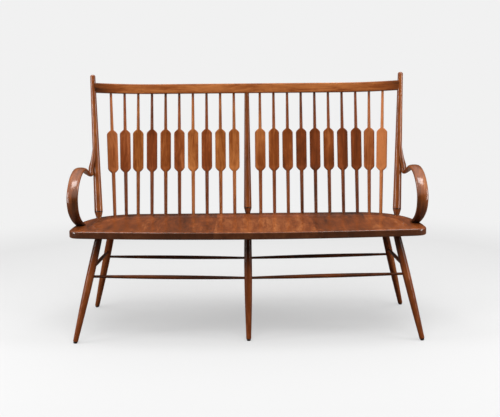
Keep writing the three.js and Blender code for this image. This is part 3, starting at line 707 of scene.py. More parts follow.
def glide_tree(name):
    """Glide: a shallow dome with a flat back and a nail."""
    nodes, given = geometry_tree(
        name, "glide_radius glide_height glide_dome glide_wear nail_radius nail_length"
    )
    shape, x, y, place = cylinder(nodes, given)
    dome_end, back, nail, nail_end = GLIDE_RING_SHARES
    turn = nodes.ramp(place, 0.0, dome_end, 0.0, QUARTER)
    low = given.glide_dome - given.glide_dome * turn.math("COSINE") - given.glide_wear
    radius = nodes.between(given.glide_radius * turn.math("SINE"), given.nail_radius, place > nail)
    height = nodes.between(low, given.glide_height, place > back)
    height = nodes.math("MULTIPLY_ADD", given.nail_length, place > nail_end, height)
    return close_tree(nodes, given, moved(nodes, shape, x * radius, y * radius, height))


def screw_tree(name):
    """Countersunk wood screw with a slotted head."""
    nodes, given = geometry_tree(name, "length head head_height shank slot_width slot_depth")
    shape, x, y, place = cylinder(nodes, given)
    rim = given.head_height / 3.0
    third = 1 / 3
    radius = nodes.ramp(place, third, 2 * third, given.head, given.shank)
    low = nodes.ramp(place, 0.0, third, 0.0, rim)
    middle = nodes.ramp(place, third, 2 * third, 0.0, given.head_height - rim)
    high = nodes.ramp(place, 2 * third, 1.0, 0.0, given.length - given.head_height)
    body = moved(nodes, shape, x * radius, y * radius, low + middle + high)
    size = nodes.xyz(given.head * 3.0, given.slot_width, given.slot_depth * 2.0)
    cut = nodes.add("GeometryNodeMeshBoolean", body, operation="DIFFERENCE", solver="EXACT")
    nodes.fill(cut, {"Mesh 2": nodes.out("GeometryNodeMeshCube", size)})
    return close_tree(nodes, given, Value(nodes, cut.outputs[0]))


# Materials

# Broad figure, streaks, mottle and pores: scale in each direction, detail, roughness, distortion
FIGURES = (
    ((26, 26, 3.2), 3.0, 0.55, 0.6),
    ((150, 150, 6), 4.0, 0.6, 0.3),
    ((34, 34, 16), 3.0, 0.5, 1.2),
    ((900, 900, 34), 2.0, 0.55, 0.0),
)
PORE_RANGE = (0.58, 0.70)

# How strongly the broad figure, the streaks and the mottle show
CONTRASTS = (0.85, 0.60, 0.28)
SEAT_CONTRASTS = (0.75, 0.40, 0.40)

# Tones at which the wood has its body colour and its palest colour
MIDDLE_TONE = 0.45
LIGHT_TONE = 0.95

PORE_SHADE = 0.25
PORE_DEPTH = 0.0003
CORNER_REACH = 0.05
LACQUER = {"IOR": 1.46, "Specular IOR Level": 0.25, "Coat Roughness": 0.12}
WORN_ROUGHNESS = 0.18
FULL_COAT = 1.0
SATIN_COAT = 0.2
END_GRAIN_SHADE = 0.72
BOARD_SHIFT = 31.0


def new_material(name):
    """A material, its nodes and its shader."""
    material = bpy.data.materials.new(name)
    material.use_nodes = True
    return material, Nodes(material.node_tree), material.node_tree.nodes["Principled BSDF"]


def attribute(nodes, name):
    made = nodes.add("ShaderNodeAttribute", attribute_name=name)
    return Value(nodes, made.outputs["Vector"])


def wood_figure(nodes, grain):
    """Figure, streaks, mottle and open pores of the wood, each from 0 to 1."""
    shift = (nodes.noise(grain, 5.0) - 0.5) * 0.05
    warped = nodes.vector("ADD", grain, nodes.xyz(shift, shift, 0.0))
    *figures, fine = (
        nodes.noise(nodes.vector("MULTIPLY", warped, scales), 1.0, *settings)
        for scales, *settings in FIGURES
    )
    return *figures, nodes.ramp(fine, *PORE_RANGE)


def walnut_colour(nodes, finish, board, figures, contrasts):
    """Walnut colour from dark to light by tone and figure, tinted golden or red, with painted shade in the
    corners.
    """
    value, redness, wear = board
    *drawn, pores = figures
    for figure, contrast in zip(drawn, contrasts):
        value = nodes.math("MULTIPLY_ADD", figure - 0.5, contrast, value)
    value = nodes.math("MULTIPLY_ADD", wear, drawn[-1] * finish.wear, value)
    low = nodes.mix(nodes.ramp(value, 0.0, MIDDLE_TONE), finish.dark, finish.middle)
    body = nodes.mix(nodes.ramp(value, MIDDLE_TONE, LIGHT_TONE), low, finish.light)
    tinted = nodes.mix(1.0, body, nodes.mix(redness, finish.golden, finish.red), "MULTIPLY")
    open_pores = nodes.mix(pores * PORE_SHADE, tinted, finish.dark)
    # Painted shade where pieces meet, from ambient occlusion
    corner = nodes.fill(nodes.add("ShaderNodeAmbientOcclusion", samples=4), {"Distance": CORNER_REACH})
    painted_corner_shade = nodes.ramp(Value(nodes, corner.outputs["AO"]), 0.1, 0.75, finish.painted_corner_shade, 0.0)
    return nodes.mix(painted_corner_shade, open_pores, finish.dark)


def lacquer(nodes, shader, finish, wear, figures, roughness, coat):
    """Lacquer over the wood: gloss that varies a little, and pores that show through."""
    broad, _, _, pores = figures
    gloss = (broad - 0.5) * 0.16 + pores * 0.08 + roughness
    bump = nodes.fill(nodes.add("ShaderNodeBump", invert=True), {
        "Strength": finish.pores, "Distance": PORE_DEPTH, "Height": pores,
    })
    nodes.fill(shader, LACQUER | {
        "Roughness": gloss + (WORN_ROUGHNESS - gloss) * wear,
        "Normal": Value(nodes, bump.outputs[0]),
        "Coat Weight": coat,
    })


def walnut_material(name, finish, coat):
    """Walnut for sticks, rail and arms, with the tone of each board on its mesh."""
    material, nodes, shader = new_material(name)
    board = nodes.split(attribute(nodes, "board"))
    figures = wood_figure(nodes, attribute(nodes, "grain"))
    nodes.fill(shader, {"Base Color": walnut_colour(nodes, finish, board, figures, CONTRASTS)})
    lacquer(nodes, shader, finish, board[2], figures, finish.roughness, coat)
    return material


def seat_material(name, finish, width):
    """Walnut of the plank: boards side by side, and darker end grain front and back."""
    material, nodes, shader = new_material(name)
    grain = attribute(nodes, "grain")
    shade, redness, wear = nodes.split(attribute(nodes, "board"))
    ramp = nodes.add("ShaderNodeValToRGB", nodes.ramp(nodes.split(grain)[0], -width / 2, width / 2))
    ramp.color_ramp.interpolation = "CONSTANT"
    stops = ramp.color_ramp.elements
    stops.remove(stops[1])
    for i, (joint, board_tone) in enumerate(SEAT_BOARDS):
        stop = stops.new(joint / width + 0.5) if i else stops[0]
        stop.color = (board_tone, board_tone, board_tone, 1)
    tone = Value(nodes, ramp.outputs[0])
    own = tone * BOARD_SHIFT
    figures = wood_figure(nodes, nodes.vector("ADD", grain, nodes.xyz(own, 0.0, own)))
    wood = walnut_colour(nodes, finish, (tone + shade, redness, wear), figures, SEAT_CONTRASTS)
    normal = nodes.split(Value(nodes, nodes.add("ShaderNodeNewGeometry").outputs["Normal"]))
    end = nodes.ramp(normal[1].math("ABSOLUTE"), 0.30, 0.90)
    nodes.fill(shader, {"Base Color": nodes.mix(end, wood, nodes.mix(END_GRAIN_SHADE, wood, finish.dark))})
    lacquer(nodes, shader, finish, wear, figures, finish.seat_roughness, FULL_COAT)
    nodes.fill(shader, {"Coat Weight": nodes.ramp(normal[2], 0.80, 0.97, FULL_COAT, 0.45)})
    return material


def speckled(name, scale, detail, colours, scuffed, roughness, metallic):
    """A plain material with a speckle in its gloss and colour, all over or where it is scuffed."""
    material, nodes, shader = new_material(name)
    speckle = nodes.noise(attribute(nodes, "grain"), scale, *detail)
    place = nodes.ramp(speckle, *scuffed) if scuffed else speckle
    nodes.fill(shader, {
        "Base Color": nodes.mix(place, *colours),
        "Roughness": nodes.ramp(speckle, 0.2, 0.8, *roughness),
        "Metallic": metallic,
    })
    return material


def steel_material(name, finish):
    """Plain steel of the wood screws, a little uneven in gloss."""
    shades = [c * 0.8 for c in finish.steel], finish.steel
    return speckled(name, 900.0, (3.0,), shades, None, (0.28, 0.48), 1.0)


def glide_material(name, finish):
    """Dull dark glide, scuffed where it meets the floor."""
    shades = finish.glide, [min(1.0, c * 3.5) for c in finish.glide]
    return speckled(name, 700.0, (4.0, 0.6), shades, (0.55, 0.75), (0.42, 0.62), 0.0)


def walnut(finish):
    """Walnut of the posts, rail and arms under full lacquer."""
    return once(bpy.data.materials, "lacquered_walnut", walnut_material, finish, FULL_COAT)


def satin_walnut(finish):
    """Walnut of the sticks with little lacquer on them."""
    return once(bpy.data.materials, "satin_walnut", walnut_material, finish, SATIN_COAT)


# Pieces

class Maker:
    """What the operators share: they make their pieces from the settings of the scene."""

    bl_options = {"REGISTER", "UNDO"}

    def execute(self, context):
        self.make(context.scene.settee)
        return {"FINISHED"}


# Steps along the front, front corner, rear corner and back of the seat, over its edge and down its
# dish, and how far across the deck its rings lie
FRONT_STEPS, CORNER_STEPS, REAR_STEPS, BACK_STEPS = 60, 16, 48, 30
EDGE_STEPS = 8
DISH_STEPS = 24
DECK_SHARES = (0.33, 0.66, 0.94, 1.0)


def bezier(points, steps):
    """Points along a Bezier curve of any order."""
    degree = len(points) - 1
    path = []
    for i in range(steps + 1):
        t = i / steps
        weights = [math.comb(degree, k) * t ** k * (1 - t) ** (degree - k) for k in range(degree + 1)]
        path.append(tuple(sum(w * p[axis] for w, p in zip(weights, points)) for axis in (0, 1)))
    return path


def half_outline(sizes):
    """Right half of the seat's outline, from the middle of the front round to the back."""
    side = sizes.width / 2
    corner_x = side - sizes.front_corner_width
    slope = 2 * sizes.front_bow / corner_x
    side_top = sizes.front_bow + sizes.front_corner_depth
    rear_x = side - sizes.rear_corner_width
    rear_start = sizes.depth - sizes.rear_corner_depth
    fullness = sizes.corner_fullness
    front = bezier([(0, 0), (corner_x / 2, 0), (corner_x, sizes.front_bow)], FRONT_STEPS)
    corner = bezier([
        (corner_x, sizes.front_bow),
        (side, sizes.front_bow + slope * sizes.front_corner_width),
        (side, side_top),
    ], CORNER_STEPS)
    rear = bezier([
        (side, max(rear_start, side_top)),
        (side, rear_start + fullness * sizes.rear_corner_depth),
        (rear_x + fullness * sizes.rear_corner_width, sizes.depth),
        (rear_x, sizes.depth),
    ], REAR_STEPS)
    back = bezier([(rear_x, sizes.depth), (0, sizes.depth)], BACK_STEPS)
    points = [*front, *corner[1:], *rear, *back[1:]]
    return [p for i, p in enumerate(points) if i == 0 or math.dist(p, points[i - 1]) > 1e-6]


def seat_rings(sizes):
    """Rings of the plank from the edge of its underside, over its edge and into the saddle."""
    half = half_outline(sizes)
    outline = np.array(half + [(-x, y) for x, y in reversed(half[1:-1])])
    ahead = np.roll(outline, -1, 0) - np.roll(outline, 1, 0)
    frontness = np.clip(ahead[:, 0] / np.linalg.norm(ahead, axis=1), 0, 1)
    frontness = frontness * frontness * (3 - 2 * frontness)
    outward = np.abs(outline[:, 0]) / (sizes.width / 2)
    roll = sizes.front_roll + (sizes.corner_roll - sizes.front_roll) * outward ** 4
    band = sizes.deck_width + (roll - sizes.deck_width) * frontness
    middle = sizes.depth / 2
    spine_x = outline[:, 0] * (1 - middle / (sizes.width / 2))
    spine = np.stack([spine_x, np.full(len(outline), middle)], 1)

    def ring(inset, height):
        part = np.broadcast_to(inset / middle, len(outline))[:, None]
        flat = outline + (spine - outline) * part
        return np.column_stack([flat, np.full(len(flat), height)])

    radius = sizes.edge_radius
    eased = radius * (1 + sizes.corner_ease * frontness * outward ** 6)
    turns = [QUARTER * step / EDGE_STEPS for step in range(EDGE_STEPS + 1)]
    low = [ring(radius * (1 - math.sin(t)), radius * (1 - math.cos(t)) - sizes.thickness) for t in turns]
    edge = [ring(eased * (1 - math.cos(t)), eased * (math.sin(t) - 1)) for t in turns]
    deck = [ring(eased + (band - eased) * part, 0.0) for part in DECK_SHARES]
    dish = []
    for step in range(1, DISH_STEPS + 1):
        part = step / DISH_STEPS
        dish.append(ring(band + sizes.dish_slope * part, -sizes.dish_depth * (1 - (1 - part) ** 3)))
    return low + edge + deck + dish


class SETTEE_OT_seat(Maker, bpy.types.Operator):
    """Make the saddled plank seat"""

    bl_idname = "settee.seat"
    bl_label = "Seat"

    def make(self, settings):
        sizes = settings.seat
        rings = seat_rings(sizes)
        sides = len(rings[0])
        local = np.concatenate(rings)
        place = seat_frame(sizes)
        material = once(
            bpy.data.materials, "lacquered_walnut_seat", seat_material, settings.finish, sizes.width
        )
        points = [place @ Vector(p) for p in local]
        mesh = new_mesh("seat_plank", points, tube_faces(len(rings), sides), material)
        ring_number = np.repeat(np.arange(len(rings)), sides)
        outward = np.clip(np.abs(local[:, 0]) / (sizes.width / 2) * 1.6 - 0.6, 0, 1)
        # Painted shade on the saddle's rim and crease, painted highlight on its slope
        shade = np.interp(ring_number, CREASE_RINGS, CREASE_PAINTED_SHADING) * outward
        # Painted shade along the back of the seat
        rear = np.clip((local[:, 1] - sizes.depth + sizes.rear_zone) / sizes.rear_zone * 2, 0, 1)
        store(mesh, local[:, [0, 2, 1]], SEAT_WOOD, shade + sizes.rear_tone * rear)
        finish_piece(mesh, "seat")


# Faces round a glide and a screw, and rings along them
GLIDE_COUNTS = {"sides": 32, "rings": 20}
SCREW_COUNTS = {"sides": 32, "rings": 3}


def make_swelled(settings, node, board, seed, side=RIGHT, **values):
    """Makes a swelled stick in its frame piece's place, from its radii."""
    tree = once(bpy.data.node_groups, "swelled_stick", swelled_tree)
    stick = stick_of(node)
    plain = {"length": stick.length, "belly_share": 0.5, "ease": 0.0, "top_shade": 0.0}
    material = satin_walnut(settings.finish)
    mesh = grown(tree, node, board, seed, material, settings.turned, **(plain | values))
    finish_piece(mesh, node, aimed(stick.start, stick.axis, side))


class SETTEE_OT_legs(Maker, bpy.types.Operator):
    """Make the six turned legs"""

    bl_idname = "settee.legs"
    bl_label = "Legs"

    def make(self, settings):
        sizes = settings.turned
        names = [f"{row}_leg_{place}" for row in ROWS for place in PLACES]
        for seed, node in enumerate(names, start=1):
            board = PALE_LEG_BOARD if node == "rear_leg_left" else LEG_BOARD
            make_swelled(
                settings, node, board, seed,
                bottom=sizes.leg_foot, belly=sizes.leg_belly, top=sizes.leg_top,
                belly_share=sizes.leg_belly_share, ease=sizes.foot_ease, top_shade=sizes.leg_shade,
            )


class SETTEE_OT_glides(Maker, bpy.types.Operator):
    """Make the glides under the feet"""

    bl_idname = "settee.glides"
    bl_label = "Glides"

    def make(self, settings):
        tree = once(bpy.data.node_groups, "glide", glide_tree)
        material = once(bpy.data.materials, "dark_glide", glide_material, settings.finish)
        for node in [f"{row}_glide_{place}" for row in ROWS for place in PLACES]:
            leg = stick_of(node.replace("glide", "leg"))
            foot = leg.start - leg.axis * (leg.start.z / leg.axis.z)
            mesh = grown(tree, node, NO_WOOD, 1, material, settings.turned, **GLIDE_COUNTS)
            mesh.transform(aimed(foot, leg.axis))
            for vertex in mesh.vertices:
                vertex.co.z = max(0.0, vertex.co.z)
            finish_piece(mesh, node)


class SETTEE_OT_stretchers(Maker, bpy.types.Operator):
    """Make the stretchers between the legs"""

    bl_idname = "settee.stretchers"
    bl_label = "Stretchers"

    def make(self, settings):
        sizes = settings.turned
        long = [f"{row}_stretcher_{side}" for row in ROWS for side in SIDES]
        short = [f"side_stretcher_{place}" for place in PLACES]
        for seed, node in enumerate(long + short, start=11):
            make_swelled(
                settings, node, STRETCHER_BOARD, seed, UP,
                bottom=sizes.stretcher_end, top=sizes.stretcher_end,
                belly=sizes.stretcher_belly if node in long else sizes.side_belly,
            )


# Steps along a post's foot, its shaft and its crown, and the radius left at the very top
FOOT_STEPS, SHAFT_STEPS, CROWN_STEPS = 8, 30, 10
TIP_RADIUS = 1e-5


def rising(start, end, steps):
    """Pairs of radius and height on the way from one pair to another."""
    parts = [step / steps for step in range(1, steps + 1)]
    return [(start[0] + (end[0] - start[0]) * p, start[1] + (end[1] - start[1]) * p) for p in parts]


def post_profile(sizes, tenon, foot, swell, top, neck):
    """A post from its tenon past its scored ring to its neck, as pairs of radius and height."""
    rise = sizes.swell_rise
    groove = sizes.ring_width / 2
    ring_top = rise + 2 * groove
    profile = [(foot, -tenon), (foot, 0.0), *rising((foot, 0.0), (swell, rise), FOOT_STEPS)]
    profile += [(swell - sizes.ring_depth, rise + groove), (swell, ring_top)]
    profile.append((swell, ring_top + RING_REACH))
    return profile + rising(profile[-1], (top, neck), SHAFT_STEPS)


class SETTEE_OT_posts(Maker, bpy.types.Operator):
    """Make the outer posts and the centre post"""

    bl_idname = "settee.posts"
    bl_label = "Posts"

    def make(self, settings):
        sizes = settings.posts
        outer = sizes.foot, sizes.swell, sizes.top
        centre = sizes.centre_foot, sizes.centre_swell, sizes.centre_top
        ring = sizes.swell_rise + sizes.ring_width / 2
        for seed, node in enumerate(("outer_post_left", "outer_post_right", "centre_post"), start=21):
            inner = node == "centre_post"
            board = CENTRE_BOARD if inner else POST_BOARD
            material = (satin_walnut if inner else walnut)(settings.finish)
            tenon = sizes.centre_tenon if inner else sizes.tenon
            crown = 0.0 if inner else sizes.crown
            stick = stick_of(node)
            neck = stick.length - tenon - crown
            profile = post_profile(sizes, tenon, *(centre if inner else outer), neck)
            if crown:
                for step in range(1, CROWN_STEPS + 1):
                    turn = QUARTER * step / CROWN_STEPS
                    radius = max(sizes.top * math.cos(turn), TIP_RADIUS)
                    profile.append((radius, neck + crown * math.sin(turn)))
            mesh = turned_mesh(node, profile, settings.turned.sides, material, board, seed, ring)
            finish_piece(mesh, node, aimed(stick.start + stick.axis * tenon, stick.axis))


# Steps round a rounded edge of the rail, and where its worn edges are, as a share of the height
ROUND_STEPS = 8
WORN_PLACE, WORN_REACH = 0.95, 0.06


def rail_line(posts, rail):
    """The leaning frame of the back, and in it the top of the centre post, the rail's end and height."""
    outer, centre = stick_of("outer_post_right"), stick_of("centre_post")
    up = Vector((0, outer.axis.y, outer.axis.z))
    back = aimed(centre.start + centre.axis * posts.centre_tenon, up)
    inverse = back.inverted()
    top = inverse @ (centre.start + centre.axis * (centre.length - posts.rail_tenon))
    foot = inverse @ outer.start
    head = inverse @ (outer.start + outer.axis * outer.length)
    height = top.z + rail.height / 2
    return back, top, foot.lerp(head, (height - foot.z) / (head.z - foot.z)), height


def rail_section(sizes):
    """Section of the rail with rounded edges, as pairs of depth and rise."""
    radius = sizes.edge_radius
    deep, high = sizes.thickness / 2 - radius, sizes.height / 2 - radius
    section = []
    for number, (depth_sign, rise_sign) in enumerate(((1, -1), (1, 1), (-1, 1), (-1, -1))):
        for step in range(ROUND_STEPS + 1):
            turn = QUARTER * (number - 1 + step / ROUND_STEPS)
            section.append((
                depth_sign * deep + radius * math.cos(turn), rise_sign * high + radius * math.sin(turn)
            ))
    return section


class SETTEE_OT_rail(Maker, bpy.types.Operator):
    """Make the bent crest rail"""

    bl_idname = "settee.rail"
    bl_label = "Crest rail"

    def make(self, settings):
        sizes = settings.rail
        back, top, end, height = rail_line(settings.posts, sizes)
        section = rail_section(sizes)
        bend, forward = end.x - sizes.straight, end.y - top.y
        stations, darker = [], []
        for step in range(sizes.steps + 1):
            x = (2 * step / sizes.steps - 1) * end.x
            past = max(0.0, abs(x) - sizes.straight) / bend
            slope = math.copysign(2 * past * forward / bend, x * forward)
            across = Vector((-slope, 1, 0)).normalized()
            stations.append((Vector((x, top.y + forward * past * past, height)), across, UP, section))
            # Painted shade on the bends of the rail
            tone = sizes.end_tones[0 if x < 0 else 1]
            darker += [past ** 3 * tone + sizes.drift * x] * len(section)
        rings, grain = swept(stations)
        wear = [abs(abs(rise) * 2 / sizes.height - WORN_PLACE) < WORN_REACH for rise in grain[:, 1]]
        points = [back @ point for ring in rings for point in ring]
        faces = tube_faces(len(rings), len(section))
        mesh = new_mesh("crest_rail", points, faces, walnut(settings.finish))
        store(mesh, grain + board_offset(31), RAIL_BOARD, np.array(darker), wear)
        finish_piece(mesh, "crest_rail")


class SETTEE_OT_spindles(Maker, bpy.types.Operator):
    """Make the paddle spindles"""

    bl_idname = "settee.spindles"
    bl_label = "Spindles"

    def make(self, settings):
        tenon, rail_tenon = settings.posts.centre_tenon, settings.posts.rail_tenon
        tree = once(bpy.data.node_groups, "paddle_spindle", spindle_tree)
        material = satin_walnut(settings.finish)
        for (side, boards), first in zip(SPINDLE_BOARDS.items(), (41, 61)):
            for seed, row in enumerate(boards, start=first):
                board = Board(*row)
                node = f"spindle_{side}_{seed - first + 1:02d}"
                stick = stick_of(node)
                mesh = grown(
                    tree, node, board, seed, material, settings.spindles,
                    length=stick.length - tenon - rail_tenon, seat_tenon=tenon, rail_tenon=rail_tenon,
                )
                place = aimed(stick.start + stick.axis * tenon, stick.axis, stick.side)
                finish_piece(mesh, node, place)


# Tongue of the arm down the post: height share, turn from the side to the front, bite share,
# width and thickness shares, and turn of the ribbon in plan as a share of a right angle
TONGUE_SHARES = (
    (0.0, 0.74, 0.85, 0.24, 0.5, 0.2),
    (0.34, 0.68, 0.2, 0.34, 0.9, 0.25),
    (0.6, 0.56, -0.1, 0.42, 1.0, 0.30),
    (0.83, 0.34, -0.36, 0.50, 1.0, 0.36),
)

# Free part of the arm: spread, reach and rise shares, width and thickness shares, turn as above
SWEEP_SHARES = (
    (0.445, 0.05, 0.82, 0.48, 0.95, 0.36),
    (0.6, 0.17, 0.87, 0.49, 0.95, 0.28),
    (0.73, 0.31, 0.955, 0.74, 1.0, 0.22),
    (0.86, 0.47, 1.0, 0.97, 1.0, 0.16),
    (0.96, 0.68, 0.93, 1.0, 1.0, 0.12),
    (1.0, 0.88, 0.755, 1.0, 1.0, 0.1),
    (1.0, 0.99, 0.55, 1.0, 1.0, 0.08),
    (0.965, 0.98, 0.32, 0.95, 1.0, 0.05),
    (0.86, 0.89, 0.135, 0.86, 1.0, 0.02),
    (0.69, 0.76, 0.0, 0.8, 1.0, 0),
    (0.57, 0.68, -0.07, 0.8, 1.0, 0),
)

# The ribbon is rounder where it is narrow: squareness there, share of the width, and over how much
NARROW_SQUARENESS = 2.2
NARROW_SHARE = 0.45
BROAD_OVER = 0.4

# From which share of its length an arm grows darker, as painted shade towards its foot, and how deep its
# foot is cut into the seat
FOOT_SHADE_FROM = 0.62
FOOT_CUT = 0.0005


def arm_stations(settings):
    """Centres and sizes of the right arm's sections, from the tip of the tongue to the seat."""
    sizes, posts, seat = settings.arms, settings.posts, settings.seat
    post = stick_of("outer_post_right")
    foot = post.start + post.axis * posts.tenon

    def post_at(height):
        return post.start + post.axis * ((height - post.start.z) / post.axis.z)

    def post_radius(height):
        rise = (height - foot.z) / post.axis.z
        part = (rise - posts.swell_rise) / (post.length - posts.tenon - posts.swell_rise)
        return posts.swell + (posts.top - posts.swell) * min(max(part, 0), 1)

    centres, sections = [], []
    for height_share, turn_share, bite_share, width, thickness, twist in TONGUE_SHARES:
        height = sizes.tip_height + (sizes.bend_height - sizes.tip_height) * height_share
        turn = turn_share * QUARTER
        thick = sizes.thickness * thickness
        bite = sizes.bite + (thick - sizes.bite) * bite_share
        offset = post_radius(height) + thick / 2 - bite
        centres.append(post_at(height) + Vector((math.cos(turn), -math.sin(turn), 0)) * offset)
        sections.append(Vector((sizes.width * width, thick, twist * QUARTER)))
    root = post_at(sizes.bend_height)
    front = seat_frame(seat).translation.y + sizes.front_back
    floor = seat_level(seat, front)
    for spread, reach, rise, width, thickness, twist in SWEEP_SHARES:
        centres.append(Vector((
            root.x + spread * sizes.spread,
            root.y - reach * (root.y - front),
            floor + rise * (sizes.top_height - floor),
        )))
        sections.append(Vector((sizes.width * width, sizes.thickness * thickness, twist * QUARTER)))
    return centres, sections


def spline(points, place, evenness=0.5):
    """A point of the smooth curve through points, and its direction, at a place from 0 to 1."""
    last = len(points) - 1
    index = min(int(place * last), last - 1)
    t = place * last - index
    p1, p2 = points[index], points[index + 1]
    p0 = points[index - 1] if index > 0 else p1 * 2 - p2
    p3 = points[index + 2] if index + 2 <= last else p2 * 2 - p1
    d0, d1, d2 = ((b - a).length ** evenness for a, b in ((p0, p1), (p1, p2), (p2, p3)))
    m1 = ((p1 - p0) / d0 - (p2 - p0) / (d0 + d1) + (p2 - p1) / d1) * d1
    m2 = ((p2 - p1) / d1 - (p3 - p1) / (d1 + d2) + (p3 - p2) / d2) * d1
    c2 = (p2 - p1) * 3 - m1 * 2 - m2
    c3 = (p1 - p2) * 2 + m1 + m2
    return p1 + m1 * t + c2 * t * t + c3 * t ** 3, m1 + c2 * 2 * t + c3 * 3 * t * t


def crowned_section(width, height, squareness, crown, sides):
    """A flat section with crowned faces and rounded edges."""
    section = []
    for i in range(sides):
        turn = 2 * math.pi * (i + 0.5) / sides
        x, y = math.cos(turn), math.sin(turn)
        section.append((
            math.copysign(abs(x) ** (2 / crown), x) * width / 2,
            math.copysign(abs(y) ** (2 / squareness), y) * height / 2,
        ))
    return section


class SETTEE_OT_arms(Maker, bpy.types.Operator):
    """Make the bent arms"""

    bl_idname = "settee.arms"
    bl_label = "Arms"

    def make(self, settings):
        sizes = settings.arms
        centres, sections = arm_stations(settings)
        stations, darker = [], []
        for step in range(sizes.steps + 1):
            place = step / sizes.steps
            centre, along = spline(centres, place)
            size, _ = spline(sections, place, 0)
            along.normalize()
            level = Vector((math.cos(size.z), math.sin(size.z), 0))
            across = (level - along * level.dot(along)).normalized()
            broad = min(max((size.x / sizes.width - NARROW_SHARE) / BROAD_OVER, 0.0), 1.0)
            squareness = NARROW_SQUARENESS + (sizes.squareness - NARROW_SQUARENESS) * broad
            section = crowned_section(size.x, size.y, squareness, sizes.crown, sizes.sides)
            stations.append((centre, across, along.cross(across), section))
            # Painted shade towards the arm's foot
            darker += [sizes.foot_tone * max(0.0, place - FOOT_SHADE_FROM) / (1 - FOOT_SHADE_FROM)] * sizes.sides
        rings, grain = swept(stations)
        points = [Vector((p.x, p.y, max(p.z, seat_level(settings.seat, p.y) - FOOT_CUT)))
                  for ring in rings for p in ring]
        for seed, (name, side) in enumerate(SIDES.items(), start=81):
            node = f"arm_{name}"
            faces = tube_faces(len(rings), sizes.sides)
            if side < 0:
                faces = [tuple(reversed(face)) for face in faces]
            mesh = new_mesh(node, [(p.x * side, p.y, p.z) for p in points], faces, walnut(settings.finish))
            store(mesh, grain + board_offset(seed), ARM_BOARD, np.array(darker))
            finish_piece(mesh, node)


class SETTEE_OT_fastenings(Maker, bpy.types.Operator):
    """Make the screws in the posts and the dowels under the arms"""

    bl_idname = "settee.fastenings"
    bl_label = "Screws and dowels"

    def make(self, settings):
        tree = once(bpy.data.node_groups, "wood_screw", screw_tree)
        material = once(bpy.data.materials, "screw_steel", steel_material, settings.finish)
        radius = settings.turned.dowel
        for name in SIDES:
            for node in (f"arm_screw_{name}_1", f"arm_screw_{name}_2"):
                start, axis, long = screw_line(node)
                mesh = grown(
                    tree, node, NO_WOOD, 1, material, settings.screws, length=long, **SCREW_COUNTS
                )
                finish_piece(mesh, node, aimed(start, axis, UP))
            make_swelled(
                settings, f"arm_dowel_{name}", DOWEL_BOARD, 90, bottom=radius, belly=radius, top=radius
            )


# Stage

CAMERA_PLACE = Vector((0.00934, -3.77239, 1.1581))
CAMERA_PITCH = 0.1799
CAMERA_ROLL = -0.0092
CAMERA_LENS = 68.25
SENSOR_WIDTH = 36
LAMPS_AIM = Vector((0, 0, 0.6))

# Lamps that the lacquer doesn't mirror
UNMIRRORED = ("front", "back")


def make_camera():
    """The photograph's camera, from the fit to the feet, seat and rail."""
    camera = placed("camera", bpy.data.cameras.new("camera"))
    camera.data.lens = CAMERA_LENS
    camera.data.sensor_width = SENSOR_WIDTH
    forward = Vector((0, math.cos(CAMERA_PITCH), -math.sin(CAMERA_PITCH)))
    level_up = RIGHT.cross(forward)
    across = RIGHT * math.cos(CAMERA_ROLL) + level_up * math.sin(CAMERA_ROLL)
    up = level_up * math.cos(CAMERA_ROLL) - RIGHT * math.sin(CAMERA_ROLL)
    place = Matrix((across, up, -forward)).transposed().to_4x4()
    place.translation = CAMERA_PLACE
    camera.matrix_world = place
    bpy.context.scene.camera = camera


def seen_by(nodes, reflected):
    """1 for rays that see the background: the camera's, those through glass, and a share in gloss."""
    ray = nodes.add("ShaderNodeLightPath").outputs
    seen, through, mirrored = (
        Value(nodes, ray[f"Is {name} Ray"]) for name in ("Camera", "Transmission", "Glossy")
    )
    return seen.math("MAXIMUM", through).math("MAXIMUM", mirrored * reflected)


def make_world(stage):
    """A studio with dim walls and a bright ceiling, behind which the background is plain."""
    world = bpy.data.worlds.new("studio")
    bpy.context.scene.world = world
    world.use_nodes = True
    world.node_tree.nodes.clear()
    nodes = Nodes(world.node_tree)
    direction = Value(nodes, nodes.add("ShaderNodeTexCoord").outputs["Generated"])
    strength = nodes.ramp(nodes.split(direction)[2], 0.35, 0.9, stage.walls, stage.ceiling, "SMOOTHSTEP")
    studio = nodes.out("ShaderNodeBackground", (1, 1, 1, 1), strength)
    plain = nodes.out("ShaderNodeBackground", rgba(stage.background), 1.0)
    shown = nodes.out("ShaderNodeMixShader", seen_by(nodes, stage.reflected), studio, plain)
    nodes.add("ShaderNodeOutputWorld", shown)


def make_floor(stage):
    """A pale floor that turns into the plain background away from the settee."""
    material, nodes, shader = new_material("pale_floor")
    seen = seen_by(nodes, stage.reflected_floor)
    nodes.fill(shader, {
        "Base Color": nodes.mix(seen, stage.floor_bounce, stage.floor),
        "Roughness": 0.9,
        "Specular IOR Level": 0.1,
    })
    place = Value(nodes, nodes.add("ShaderNodeTexCoord").outputs["Object"])
    distance = nodes.add("ShaderNodeVectorMath", place, operation="LENGTH").outputs["Value"]
    far = nodes.ramp(Value(nodes, distance), stage.fade_start, stage.fade_end, kind="SMOOTHSTEP")
    plain = nodes.out("ShaderNodeEmission", rgba(stage.background), 1.0)
    washed = far.math("MAXIMUM", stage.shadow_lift) * seen
    shown = nodes.out("ShaderNodeMixShader", washed, Value(nodes, shader.outputs[0]), plain)
    nodes.fill(material.node_tree.nodes["Material Output"], {"Surface": shown})
    half = stage.floor_size
    square = [(-half, -half, 0), (half, -half, 0), (half, half, 0), (-half, half, 0)]
    floor = placed("floor", new_mesh("floor", square, [(0, 1, 2, 3)], material))


def make_lamp(name, place, size, watts):
    """A softbox that shines on the middle of the settee."""
    lamp = placed(name, bpy.data.lights.new(name, "AREA"))
    lamp.data.shape = "RECTANGLE"
    lamp.data.size, lamp.data.size_y = size
    lamp.data.energy = watts
    away = (Vector(place) - LAMPS_AIM).normalized()
    lamp.matrix_world = aimed(Vector(place), away)
    lamp.visible_glossy = name not in UNMIRRORED


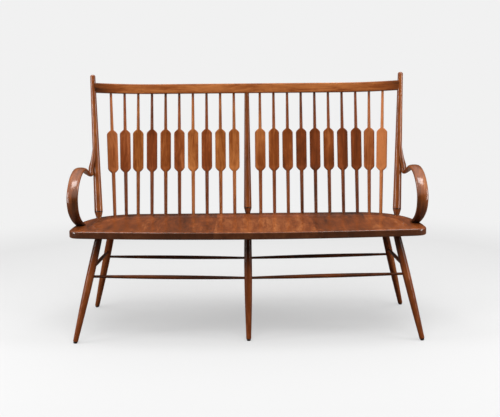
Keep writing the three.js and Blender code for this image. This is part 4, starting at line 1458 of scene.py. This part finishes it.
class SETTEE_OT_stage(Maker, bpy.types.Operator):
    """Make the camera, the floor, the background and the lamps"""

    bl_idname = "settee.stage"
    bl_label = "Stage"

    def make(self, settings):
        stage = settings.stage
        bpy.context.scene.view_settings.view_transform = "Standard"
        make_camera()
        make_world(stage)
        make_floor(stage)
        make_lamp("front", (0, -1.6, 4.1), (2.8, 2.0), stage.front)
        make_lamp("top_left", (-1.15, 0.15, 3.1), (1.1, 0.8), stage.top)
        make_lamp("top_right", (1.15, 0.15, 3.1), (1.1, 0.8), stage.top)
        make_lamp("left_strip", (-2.2, -0.8, 1.2), (0.4, 1.9), stage.left_strip)
        make_lamp("right_strip", (2.2, -0.8, 1.2), (0.4, 1.9), stage.right_strip)
        make_lamp("back", (0, 2.4, 3.0), (2.4, 1.0), stage.back)


# Panel and registration

MAKERS = (
    SETTEE_OT_stage, SETTEE_OT_seat, SETTEE_OT_legs, SETTEE_OT_glides, SETTEE_OT_stretchers,
    SETTEE_OT_posts, SETTEE_OT_rail, SETTEE_OT_spindles, SETTEE_OT_arms, SETTEE_OT_fastenings,
)


class SETTEE_PT_pieces(bpy.types.Panel):
    """The settee's pieces and their sizes"""

    bl_idname = "SETTEE_PT_pieces"
    bl_label = "Spindle-back settee"
    bl_space_type = "VIEW_3D"
    bl_region_type = "UI"
    bl_category = "Settee"

    def draw(self, context):
        settings = context.scene.settee
        for maker in MAKERS:
            self.layout.operator(maker.bl_idname)
        for name, group in SETTINGS.items():
            box = self.layout.box()
            box.label(text=name.capitalize())
            for key in group.__annotations__:
                box.prop(getattr(settings, name), key)


CLASSES = (*SETTINGS.values(), SetteeSettings, *MAKERS, SETTEE_PT_pieces)


def register():
    for group in CLASSES:
        bpy.utils.register_class(group)
    bpy.types.Scene.settee = PointerProperty(type=SetteeSettings)


def unregister():
    del bpy.types.Scene.settee
    for group in reversed(CLASSES):
        bpy.utils.unregister_class(group)


def main():
    register()
    for maker in MAKERS:
        group, name = maker.bl_idname.split(".")
        getattr(getattr(bpy.ops, group), name)()


if __name__ == "__main__":
    main()
